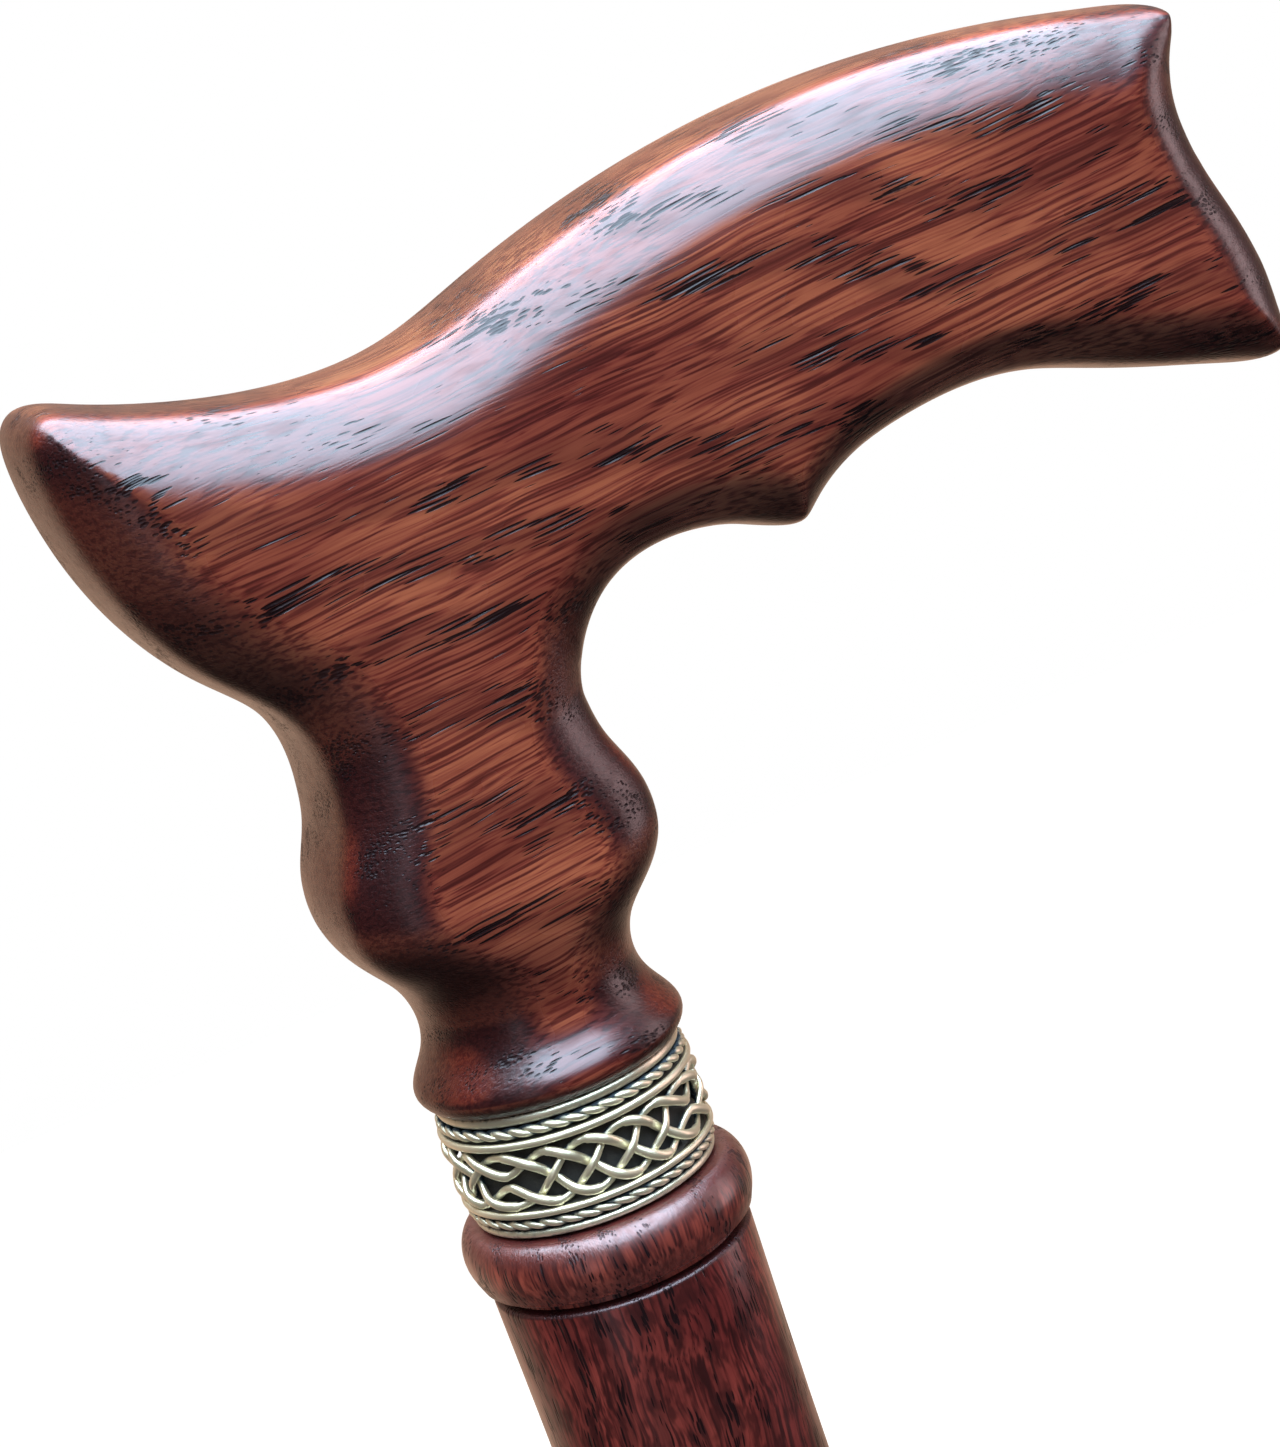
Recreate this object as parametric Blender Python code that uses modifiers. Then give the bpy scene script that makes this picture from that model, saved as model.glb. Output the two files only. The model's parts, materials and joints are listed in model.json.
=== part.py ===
# A walking cane: a carved wooden handle over a metal ring with rope borders and interlace,
# a turned collar, a tapering shaft and a rubber tip that pulls off its end.
# Sizes are in millimetres and become metres when a mesh is made. +Z runs up the shaft's axis and
# +X along the handle towards its palm end. The origin is on that axis, on top of the handle,
# where the hand bears down.
import math

import bmesh
import bpy
import numpy as np
from mathutils.geometry import delaunay_2d_cdt

MM = 0.001
GAP = 0.3

# Heights over the floor of the shaft's top rim and of the origin.
RIM_HEIGHT = 815.0
ORIGIN_HEIGHT = 910.5

# Shaft. Heights of the handle, ring and collar are counted from its top rim.
SHAFT_TOP_RADIUS = 14.0
SHAFT_FOOT_RADIUS = 9.5
SHAFT_FOOT_HEIGHT = 14.0
SHAFT_SWELL = 0.35
SHAFT_SWELL_LENGTH = 22.0
RIM_CHAMFER = 0.5
SHAFT_SEGMENTS = 32

# Collar, a turned bead with a foot on the rim and a tenon that carries the ring.
COLLAR_FOOT_RADIUS = 13.2
COLLAR_LIP_RADIUS = 14.75
COLLAR_RADIUS = 15.5
COLLAR_LIP_Z = 1.6
COLLAR_WIDEST_Z = 4.5
COLLAR_TOP_RADIUS = 13.4
COLLAR_TOP_Z = 7.8
TENON_RADIUS = 10.2
TENON_TOP_Z = 21.2

# Ring, a dark sleeve with plain and twisted wires soldered round it.
SLEEVE_BORE = 10.5
SLEEVE_RADIUS = 12.0
SHOULDER_RADIUS = 12.75
SLEEVE_LOW_Z = 8.1
SLEEVE_HIGH_Z = 21.3
SHOULDER_HALF_FOOT = 0.5
SHOULDER_HALF_TOP = 0.2
# Plain wires: height, radius of the ring, radius of the wire.
BEADS = {
    "lower_outer_bead": (8.55, 12.6, 0.36),
    "lower_inner_bead": (10.9, 13.25, 0.35),
    "upper_inner_bead": (18.4, 13.25, 0.35),
    "upper_outer_bead": (20.85, 12.6, 0.40),
}
RING_SEGMENTS = 36
BEAD_SIDES = 6
# Twisted wires: height, and the half axes of the flattened section that twists.
ROPES = {
    "lower_rope": (9.72, (0.60, 0.34)),
    "upper_rope": (19.62, (0.65, 0.36)),
}
ROPE_RADIUS = 12.8
ROPE_LOBES = 42
ROPE_POINTS_A_LOBE = 4

# Interlace between the inner beads. Its strands cross in columns, and each group of columns
# follows a broken one, where they turn back and leave a pair of leaf-shaped eyes.
KNOT_RADIUS = 12.95
KNOT_Z = 14.5
KNOT_REACH = 2.7
KNOT_BOUNCE = 0.65
KNOT_LIFT = 0.42
KNOT_WIRE = 0.41
KNOT_GROUPS = (4, 4, 4, 2)
KNOT_STEP = math.radians(18.5)
KNOT_TURN = math.radians(-53.0)
KNOT_POINTS_A_KEY = 3
# A strand that falls to the right is broad, and one that rises is narrow.
KNOT_BROAD = 1.05
KNOT_NARROW = 0.85

# Handle, sawn from a plank, rounded over on both sides and turned round at the ring.
PLANK_HALF = 14.0
HANDLE_FOOT_Z = 21.5
# Rows of the neck: height, half width, depth of the roundover, half thickness, and how far its
# section has gone from turned, 0, to sawn and bevelled, 1.
NECK_ROWS = [
    (21.5, 13.2, 13.2, 13.2, 0.0), (22.3, 14.0, 14.0, 14.0, 0.0), (23.4, 14.4, 14.4, 14.4, 0.0),
    (24.8, 13.9, 13.9, 13.9, 0.0), (26.8, 12.6, 12.6, 12.7, 0.0), (29.6, 11.6, 11.6, 12.0, 0.0),
    (32.4, 11.7, 11.7, 12.2, 0.1), (35.2, 12.8, 12.0, 12.8, 0.3), (38.0, 14.9, 11.0, 13.5, 0.6),
    (41.2, 16.8, 10.2, 14.0, 0.85), (44.8, 17.4, 10.0, 14.0, 1.0), (48.6, 16.8, 10.0, 14.0, 1.0),
    (53.0, 15.0, 10.0, 14.0, 1.0), (57.5, 14.2, 10.0, 14.0, 1.0),
]
# Outline of the head from the right of the neck round to its left: x, z, depth of the roundover.
HEAD_OUTLINE = [
    (14.2, 57.5, 10.0), (16.2, 62.6, 9.6), (20.2, 66.5, 8.6), (26.5, 68.2, 7.6), (34.0, 67.1, 7.0),
    (38.6, 65.2, 6.5), (41.0, 64.8, 6.5), (43.2, 66.4, 6.5), (48.0, 69.2, 6.5), (56.0, 71.0, 6.5),
    (64.0, 71.3, 6.5), (72.0, 69.8, 6.5), (82.0, 66.3, 7.0), (92.0, 63.1, 7.5), (97.4, 61.9, 8.0),
    (98.9, 63.2, 8.0), (99.2, 67.0, 8.0), (98.9, 72.0, 8.0), (97.3, 78.5, 8.0), (95.2, 84.5, 8.0),
    (94.2, 90.0, 8.0), (94.9, 95.0, 8.0), (96.6, 99.0, 8.0), (96.0, 101.0, 9.0), (91.0, 102.6, 10.0),
    (80.0, 104.6, 10.0), (68.0, 105.9, 10.0), (56.0, 106.1, 10.0), (44.0, 105.0, 10.0), (32.0, 102.7, 10.0),
    (20.0, 99.2, 10.0), (12.0, 96.5, 10.0), (5.0, 95.3, 10.0), (-4.0, 95.7, 10.0), (-14.0, 97.8, 10.0),
    (-22.5, 100.7, 10.0), (-27.0, 102.0, 10.0), (-29.2, 100.5, 10.0), (-30.0, 97.0, 10.0),
    (-29.1, 88.8, 10.0), (-26.0, 79.5, 10.0), (-21.0, 71.9, 10.0), (-16.4, 66.9, 10.0), (-14.4, 62.4, 10.0),
    (-14.2, 57.5, 10.0),
]
# Section of the roundover, from the middle of the plank's edge to its flat side, as parts of the
# depth and of the half thickness: a crowned edge, a soft arris, and a bevel that turns into the flat.
EDGE_SECTION = ((0.0, 0.0), (0.03, 0.37), (0.09, 0.60), (0.18, 0.70), (0.45, 0.86), (0.74, 0.96), (1.0, 1.0))

# Steel stud and brass insert that draw the handle down on the shaft.
STUD_RADIUS = 3.0
STUD_LOW_Z = -28.0
STUD_HIGH_Z = 36.0
STUD_TIP_RADIUS = 0.6
STUD_TIP_LENGTH = 4.0
STUD_CHAMFER = 0.7
INSERT_RADIUS = 5.6
INSERT_RIB_RADIUS = 6.0
INSERT_LOW_Z = 22.0
INSERT_LENGTH = 18.0
INSERT_RIBS = 4
STUD_SEGMENTS = 12
HOLE_SEGMENTS = 24
DRILL_POINT = 1.5
CUTTER_OVERRUN = 5.0

# Rubber tip, which grips the shaft's foot, and the steel disc under the wood.
TIP_HEIGHT = 38.0
TIP_FOOT_RADIUS = 17.0
TIP_WAIST_RADIUS = 13.4
TIP_MOUTH_RADIUS = 12.6
TIP_LIP_CHAMFER = 0.7
TIP_BORE_LOW_Z = 12.0
TIP_BORE_CLEARANCE = 0.1
TIP_WAIST_Z = 18.0
TIP_FLARE_RADIUS = 14.6
TIP_FLARE_Z = 11.0
TIP_FOOT_WALL_Z = 6.5
TIP_FOOT_CHAMFER = 1.5
TIP_RIB_Z = (32.0, 26.0)
TIP_RIB_RADIUS = 13.8
TIP_RIB_HALF_FOOT = 1.6
TIP_RIB_HALF_TOP = 0.8
# The groove under the foot: its outer and inner radii, at the mouth and at the floor, and its depth.
TIP_GROOVE_MOUTH = (13.0, 9.8)
TIP_GROOVE_FLOOR = (12.2, 10.6)
TIP_GROOVE_DEPTH = 1.5
TIP_SEGMENTS = 28
DISC_LIFT = 0.2
DISC_THICKNESS = 1.5
DISC_RADIUS = 8.6
DISC_SEGMENTS = 24

COLOURS = {
    "handle_wood": ((0.19, 0.055, 0.035, 1.0), 0.32, 0.0),
    "shaft_wood": ((0.16, 0.045, 0.032, 1.0), 0.35, 0.0),
    "silver": ((0.62, 0.58, 0.46, 1.0), 0.28, 1.0),
    "dark_silver": ((0.05, 0.06, 0.065, 1.0), 0.55, 1.0),
    "brass": ((0.60, 0.42, 0.16, 1.0), 0.35, 1.0),
    "steel": ((0.50, 0.50, 0.50, 1.0), 0.35, 1.0),
    "rubber": ((0.02, 0.02, 0.02, 1.0), 0.75, 0.0),
}


def clear_scene():
    """Empty the file of every object."""
    for item in list(bpy.data.objects):
        bpy.data.objects.remove(item, do_unlink=True)


def make_collection(name):
    collection = bpy.data.collections.new(name)
    bpy.context.scene.collection.children.link(collection)
    return collection


def make_materials():
    """One Principled material for each finish."""
    materials = {}
    for name, (colour, roughness, metallic) in COLOURS.items():
        material = bpy.data.materials.new(name)
        material.use_nodes = True
        shader = material.node_tree.nodes["Principled BSDF"]
        shader.inputs["Base Color"].default_value = colour
        shader.inputs["Roughness"].default_value = roughness
        shader.inputs["Metallic"].default_value = metallic
        material.diffuse_color = colour
        materials[name] = material
    return materials


def add_empty(name, height, collection):
    """An empty on the shaft's axis that carries the pieces placed from it."""
    empty = bpy.data.objects.new(name, None)
    empty.location = (0.0, 0.0, height * MM)
    collection.objects.link(empty)
    return empty


def add_object(name, data, material, parent, collection):
    item = bpy.data.objects.new(name, data)
    item.parent = parent
    if material is not None:
        data.materials.append(material)
    collection.objects.link(item)
    return item


def shade_round(mesh, angle=35.0):
    mesh.shade_smooth()
    mesh.set_sharp_from_angle(angle=math.radians(angle))


def arc(centre, radii, start, end, steps):
    """Points of an elliptical arc in a turned profile, angles in degrees from +X."""
    points = []
    for i in range(steps + 1):
        angle = math.radians(start + (end - start) * i / steps)
        x = centre[0] + radii[0] * math.cos(angle)
        z = centre[1] + radii[1] * math.sin(angle)
        points.append((x, z))
    return points


def turned(name, profile, material, parent, collection, segments, closed=False):
    """Turn a profile of (radius, height) points, which runs down its outer side, about +Z."""
    mesh = bpy.data.meshes.new(name)
    points = [(x * MM, 0.0, z * MM) for x, z in profile]
    edges = [(i, i + 1) for i in range(len(points) - 1)]
    if closed:
        edges.append((len(points) - 1, 0))
    mesh.from_pydata(points, edges, [])
    item = add_object(name, mesh, material, parent, collection)
    screw = item.modifiers.new("turn", "SCREW")
    screw.angle = 2.0 * math.pi
    screw.steps = segments
    screw.render_steps = segments
    screw.use_merge_vertices = True
    screw.merge_threshold = 0.00001
    screw.use_smooth_shade = True
    return item


def ring_wire(name, points, material, parent, collection):
    """A closed wire through points, which the caller gives its section."""
    curve = bpy.data.curves.new(name, "CURVE")
    curve.dimensions = "3D"
    curve.twist_mode = "Z_UP"
    spline = curve.splines.new("POLY")
    spline.points.add(len(points) - 1)
    spline.use_cyclic_u = True
    for i, (x, y, z) in enumerate(points):
        spline.points[i].co = (x * MM, y * MM, z * MM, 1.0)
    add_object(name, curve, material, parent, collection)
    return curve


def circle_points(radius, height, count):
    step = 2.0 * math.pi / count
    return [(radius * math.cos(i * step), radius * math.sin(i * step), height) for i in range(count)]


def rope_section(name, half_axes, guides):
    """The flattened section that a rope border twists along its ring."""
    curve = bpy.data.curves.new(name, "CURVE")
    curve.dimensions = "2D"
    spline = curve.splines.new("POLY")
    spline.points.add(3)
    spline.use_cyclic_u = True
    for i in range(4):
        angle = -0.5 * math.pi * i
        across = half_axes[0] * math.cos(angle) * MM
        through = half_axes[1] * math.sin(angle) * MM
        spline.points[i].co = (across, through, 0.0, 1.0)
    guide = bpy.data.objects.new(name, curve)
    guide.hide_render = True
    guide.display_type = "WIRE"
    guides.objects.link(guide)
    return guide


def rope_border(name, material, parent, collection, guides):
    """A two-strand twisted wire, half a twist to each lobe."""
    height, half_axes = ROPES[name]
    points = circle_points(ROPE_RADIUS, height, ROPE_LOBES * ROPE_POINTS_A_LOBE)
    curve = ring_wire(name, points, material, parent, collection)
    curve.bevel_mode = "OBJECT"
    curve.bevel_object = rope_section(name + "_section", half_axes, guides)
    for i, point in enumerate(curve.splines[0].points):
        point.tilt = math.pi * i / ROPE_POINTS_A_LOBE


def knot_columns():
    """Angle of each column of the interlace, and whether it is a broken one."""
    crossings = sum(KNOT_GROUPS)
    breaks = len(KNOT_GROUPS)
    break_step = (2.0 * math.pi - KNOT_STEP * (crossings - breaks)) / (2 * breaks)
    columns = []
    angle = 0.0
    for count in KNOT_GROUPS:
        columns.append((angle, True))
        angle += break_step
        for i in range(count):
            columns.append((angle + i * KNOT_STEP, False))
        angle += (count - 1) * KNOT_STEP + break_step
    return columns


def trace_strand(start, columns):
    """Follow a strand until it closes: angle, height and lift at each column and between two.

    A strand rises through the middle to the top, falls to the bottom and rises again. At a broken
    column it turns back before the middle. It rides over what it crosses while it falls to the
    right of the ring, and also where it rises through the middle.
    """
    corner = math.sqrt(0.5) * KNOT_REACH
    heights = {"top": KNOT_REACH, "bottom": -KNOT_REACH, "rising": 0.0, "falling": 0.0,
               "high_turn": KNOT_BOUNCE, "low_turn": -KNOT_BOUNCE}
    lifts = {"rising": KNOT_LIFT, "falling": -KNOT_LIFT}
    following = {"top": "falling", "falling": "bottom", "bottom": "rising", "rising": "top",
                 "high_turn": "top", "low_turn": "bottom"}
    turned_back = {"falling": "high_turn", "rising": "low_turn"}
    keys = []
    state = start
    turn = 0.0
    while turn == 0.0 or state != start:
        for i, (angle, broken) in enumerate(columns):
            next_angle, next_broken = columns[(i + 1) % len(columns)]
            if next_angle < angle:
                next_angle += 2.0 * math.pi
            # The crossing between two columns is half a step from the one that isn't broken.
            between = next_angle - KNOT_STEP / 2 if broken else angle + KNOT_STEP / 2
            upper = state in ("top", "rising", "high_turn")
            rising = state in ("bottom", "rising", "high_turn")
            keys.append((turn + angle, heights[state], lifts.get(state, 0.0)))
            height = corner if upper else -corner
            lift = -KNOT_LIFT if rising else KNOT_LIFT
            keys.append((turn + between, height, lift))
            state = following[state]
            if next_broken:
                state = turned_back.get(state, state)
        turn += 2.0 * math.pi
    return keys, turn


def strand_points(keys, whole):
    """Points (angle, height, lift) of a closed strand, on a curve through its keys."""
    count = len(keys)
    points = []
    for i in range(count):
        around = []
        for k in (-1, 0, 1, 2):
            lap, place = divmod(i + k, count)
            angle, height, lift = keys[place]
            around.append((angle + lap * whole, height, lift))
        for step in range(KNOT_POINTS_A_KEY):
            t = step / KNOT_POINTS_A_KEY
            point = []
            for a, b, c, d in zip(*around):
                bend = a - 2.5 * b + 2.0 * c - 0.5 * d
                twist = 1.5 * (b - c) + 0.5 * (d - a)
                point.append(b + 0.5 * t * (c - a) + t * t * bend + t ** 3 * twist)
            points.append(point)
    return points


def interlace_strand(name, start, columns, material, parent, collection):
    """One strand, from its state in the first column until it closes on itself."""
    places = strand_points(*trace_strand(start, columns))
    points = []
    for angle, height, lift in places:
        turn = KNOT_TURN - math.pi / 2 + angle
        radius = KNOT_RADIUS + lift
        points.append((radius * math.cos(turn), radius * math.sin(turn), KNOT_Z + height))
    curve = ring_wire(name, points, material, parent, collection)
    curve.bevel_depth = KNOT_WIRE * MM
    curve.bevel_resolution = 0
    for i, point in enumerate(curve.splines[0].points):
        rises = places[(i + 1) % len(places)][1] > places[i - 1][1]
        point.radius = KNOT_NARROW if rises else KNOT_BROAD


def plain_bead(name, material, parent, collection):
    """A plain round wire bent to a ring."""
    height, radius, wire = BEADS[name]
    bpy.ops.mesh.primitive_torus_add(
        major_segments=RING_SEGMENTS,
        minor_segments=BEAD_SIDES,
        major_radius=radius * MM,
        minor_radius=wire * MM,
    )
    bead = bpy.context.object
    bead.name = name
    bead.data.name = name
    bead.data.materials.append(material)
    shade_round(bead.data)
    for owner in list(bead.users_collection):
        owner.objects.unlink(bead)
    collection.objects.link(bead)
    bead.parent = parent
    bead.location = (0.0, 0.0, height * MM)


def build_ring(materials, parent, collection, guides):
    """The sleeve with a shoulder behind each inner bead, and the wires round it."""
    sleeve = [(SLEEVE_RADIUS, SLEEVE_HIGH_Z)]
    for name in ("upper_inner_bead", "lower_inner_bead"):
        middle = BEADS[name][0]
        sleeve.append((SLEEVE_RADIUS, middle + SHOULDER_HALF_FOOT))
        sleeve.append((SHOULDER_RADIUS, middle + SHOULDER_HALF_TOP))
        sleeve.append((SHOULDER_RADIUS, middle - SHOULDER_HALF_TOP))
        sleeve.append((SLEEVE_RADIUS, middle - SHOULDER_HALF_FOOT))
    sleeve += [(SLEEVE_RADIUS, SLEEVE_LOW_Z), (SLEEVE_BORE, SLEEVE_LOW_Z)]
    sleeve += [(SLEEVE_BORE, SLEEVE_HIGH_Z)]
    silver = materials["silver"]
    dark = materials["dark_silver"]
    turned("ring_sleeve", sleeve, dark, parent, collection, RING_SEGMENTS, closed=True)
    for name in BEADS:
        plain_bead(name, silver, parent, collection)
    for name in ROPES:
        rope_border(name, silver, parent, collection, guides)
    # Two strands, each twice round the ring, pass through all four states of a broken column.
    columns = knot_columns()
    for number, state in enumerate(("top", "high_turn"), 1):
        interlace_strand(f"interlace_strand_{number}", state, columns, silver, parent, collection)


def build_collar(materials, parent, collection):
    bore = STUD_RADIUS + GAP
    middle = (COLLAR_WIDEST_Z + COLLAR_LIP_Z) / 2
    profile = [(bore, TENON_TOP_Z), (TENON_RADIUS - 0.5, TENON_TOP_Z), (TENON_RADIUS, TENON_TOP_Z - 0.5),
               (TENON_RADIUS, COLLAR_TOP_Z), (COLLAR_TOP_RADIUS - 0.4, COLLAR_TOP_Z)]
    rise = COLLAR_TOP_Z - COLLAR_WIDEST_Z
    swell = COLLAR_RADIUS - COLLAR_TOP_RADIUS
    profile += arc((COLLAR_TOP_RADIUS, COLLAR_WIDEST_Z), (swell, rise), 78.0, 0.0, 5)
    profile += [(COLLAR_RADIUS - 0.08, middle + 0.4), (COLLAR_LIP_RADIUS + 0.25, COLLAR_LIP_Z + 0.4)]
    profile += [(COLLAR_LIP_RADIUS, COLLAR_LIP_Z), (COLLAR_LIP_RADIUS - 0.6, COLLAR_LIP_Z - 0.25)]
    profile += [(COLLAR_FOOT_RADIUS, COLLAR_LIP_Z - 0.35), (COLLAR_FOOT_RADIUS, GAP), (bore, GAP)]
    turned("collar", profile, materials["handle_wood"], parent, collection, RING_SEGMENTS, closed=True)


def build_shaft(materials, parent, collection):
    bore = STUD_RADIUS + GAP
    foot = SHAFT_FOOT_HEIGHT - RIM_HEIGHT
    profile = [(0.0, STUD_LOW_Z - 2.0), (bore, STUD_LOW_Z), (bore, 0.0)]
    profile += [(SHAFT_TOP_RADIUS - RIM_CHAMFER, 0.0), (SHAFT_TOP_RADIUS, -RIM_CHAMFER)]
    profile += [(SHAFT_TOP_RADIUS - SHAFT_SWELL, -SHAFT_SWELL_LENGTH)]
    profile += [(SHAFT_FOOT_RADIUS, foot + RIM_CHAMFER), (SHAFT_FOOT_RADIUS - RIM_CHAMFER, foot)]
    profile += [(0.0, foot)]
    turned("shaft", profile, materials["shaft_wood"], parent, collection, SHAFT_SEGMENTS)


def build_stud(materials, parent, collection):
    low = STUD_LOW_Z + GAP
    stud = [(0.0, STUD_HIGH_Z), (STUD_RADIUS - STUD_CHAMFER, STUD_HIGH_Z)]
    stud += [(STUD_RADIUS, STUD_HIGH_Z - STUD_CHAMFER), (STUD_RADIUS, low + STUD_TIP_LENGTH)]
    stud += [(STUD_TIP_RADIUS, low), (0.0, low)]
    turned("hanger_bolt", stud, materials["steel"], parent, collection, STUD_SEGMENTS)
    pitch = INSERT_LENGTH / INSERT_RIBS
    insert = []
    top = INSERT_LOW_Z + INSERT_LENGTH
    for rib in range(INSERT_RIBS):
        high = top - rib * pitch
        insert.append((INSERT_RADIUS, high))
        insert.append((INSERT_RIB_RADIUS, high - 0.4 * pitch))
        insert.append((INSERT_RADIUS, high - 0.8 * pitch))
    bore = STUD_RADIUS + GAP
    insert += [(INSERT_RADIUS, INSERT_LOW_Z), (bore, INSERT_LOW_Z), (bore, top)]
    turned("handle_insert", insert, materials["brass"], parent, collection, STUD_SEGMENTS, closed=True)


def smooth_outline(points, steps):
    """Centripetal Catmull-Rom curve through control points, steps samples to a span."""
    control = np.array(points, float)
    control = np.vstack([2 * control[0] - control[1], control, 2 * control[-1] - control[-2]])
    samples = []
    for i in range(1, len(control) - 2):
        span = control[i - 1:i + 3]
        knots = np.concatenate([[0.0], np.cumsum(np.hypot(*np.diff(span[:, :2], axis=0).T) ** 0.5)])
        for k in range(steps):
            t = knots[1] + (knots[2] - knots[1]) * k / steps
            layer = list(span)
            for level in (1, 2, 3):
                # The last level blends only over the middle knots, as a Catmull-Rom span does.
                lows = [1] if level == 3 else range(4 - level)
                highs = [2] if level == 3 else [j + level for j in lows]
                blended = []
                for j, (a, b) in enumerate(zip(lows, highs)):
                    share = (t - knots[a]) / (knots[b] - knots[a])
                    blended.append((1.0 - share) * layer[j] + share * layer[j + 1])
                layer = blended
            samples.append(layer[0])
    samples.append(control[-2])
    return np.array(samples)


def inward_normals(outline):
    """Unit normals that point into a counter-clockwise outline whose two ends run upright."""
    along = np.gradient(outline, axis=0)
    along /= np.linalg.norm(along, axis=1)[:, None]
    normals = np.stack([-along[:, 1], along[:, 0]], axis=1)
    normals[0] = (-1.0, 0.0)
    normals[-1] = (1.0, 0.0)
    return normals


def inscribed_radii(outline, normals):
    """Radius of the largest circle inside the outline that touches it at each of its points."""
    radii = np.empty(len(outline))
    for i, (point, normal) in enumerate(zip(outline, normals)):
        across = outline - point
        depth = across @ normal
        ahead = depth > 1e-6
        radii[i] = np.min((across[ahead] ** 2).sum(axis=1) / (2.0 * depth[ahead]))
    return radii


def bevelled(part):
    """Part of the half thickness at a part of the roundover's depth, on the sawn and bevelled section."""
    return float(np.interp(part, *np.transpose(EDGE_SECTION)))


def neck_row(row):
    """Points across one row of the neck, left to right, as (x, y, z) on the near side."""
    height, half_width, depth, half, sawn = row
    left = []
    for part, share in EDGE_SECTION:
        turned_share = math.sqrt(1.0 - (1.0 - part) ** 2)
        left.append((part * depth - half_width, -half * (sawn * share + (1.0 - sawn) * turned_share), height))
    right = [(-x, y, z) for x, y, z in reversed(left)]
    return left + right


def add_neck(shell):
    """The near side of the neck: rows of quads, and the half disc that stands over the ring."""
    rows = []
    for row in NECK_ROWS:
        rows.append([shell.verts.new([value * MM for value in point]) for point in neck_row(row)])
    for low, high in zip(rows, rows[1:]):
        for a, b, c, d in zip(low, low[1:], high[1:], high):
            shell.faces.new((a, b, c, d))
    shell.faces.new(list(reversed(rows[0])))


def add_head(shell):
    """The near side of the head: rings of the roundover, triangulated with the flat between them."""
    samples = smooth_outline(HEAD_OUTLINE, 2)
    outline, depths = samples[:, :2], samples[:, 2]
    normals = inward_normals(outline)
    limits = inscribed_radii(outline, normals)
    flat, heights, edges = [], [], []
    for part, share in EDGE_SECTION:
        previous = None
        for i, (point, normal) in enumerate(zip(outline, normals)):
            reach = part * depths[i]
            if reach > 0.96 * limits[i]:
                previous = None
                continue
            flat.append(tuple(point + reach * normal))
            heights.append(-share * PLANK_HALF)
            if previous is not None:
                edges.append((previous, len(flat) - 1))
            previous = len(flat) - 1
    # Where two roundovers meet before they are full, a ridge joins them.
    for i, (point, normal) in enumerate(zip(outline, normals)):
        if limits[i] < depths[i]:
            flat.append(tuple(point + limits[i] * normal))
            heights.append(-bevelled(limits[i] / depths[i]) * PLANK_HALF)
    # The last row of the neck closes the outline.
    first = len(flat)
    row = neck_row(NECK_ROWS[-1])
    flat += [(x, z) for x, y, z in row]
    heights += [y for x, y, z in row]
    edges += [(i, i + 1) for i in range(first, len(flat) - 1)]
    points, lines, triangles, sources, *rest = delaunay_2d_cdt(flat, edges, [], 1, 0.05)
    verts = []
    for point, source in zip(points, sources):
        verts.append(shell.verts.new((point[0] * MM, heights[source[0]] * MM, point[1] * MM)))
    for triangle in triangles:
        shell.faces.new([verts[i] for i in triangle])


def build_handle(materials, parent, collection, cutters):
    """Half of the handle, mirrored, with a blind hole for the insert."""
    shell = bmesh.new()
    add_neck(shell)
    add_head(shell)
    bmesh.ops.remove_doubles(shell, verts=shell.verts, dist=0.02 * MM)
    mesh = bpy.data.meshes.new("handle")
    shell.to_mesh(mesh)
    shell.free()
    handle = add_object("handle", mesh, materials["handle_wood"], parent, collection)
    mirror = handle.modifiers.new("other_side", "MIRROR")
    mirror.use_axis = (False, True, False)
    mirror.merge_threshold = 0.00001
    low = HANDLE_FOOT_Z - CUTTER_OVERRUN
    high = INSERT_LOW_Z + INSERT_LENGTH + GAP
    radius = INSERT_RIB_RADIUS + GAP
    drill = [(0.0, high + DRILL_POINT), (radius, high), (radius, low), (0.0, low)]
    cutter = turned("insert_hole", drill, None, parent, cutters, HOLE_SEGMENTS)
    cutter.hide_render = True
    cutter.display_type = "WIRE"
    hole = handle.modifiers.new("insert_hole", "BOOLEAN")
    hole.operation = "DIFFERENCE"
    hole.object = cutter
    hole.solver = "EXACT"
    shade_round(mesh)


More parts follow.
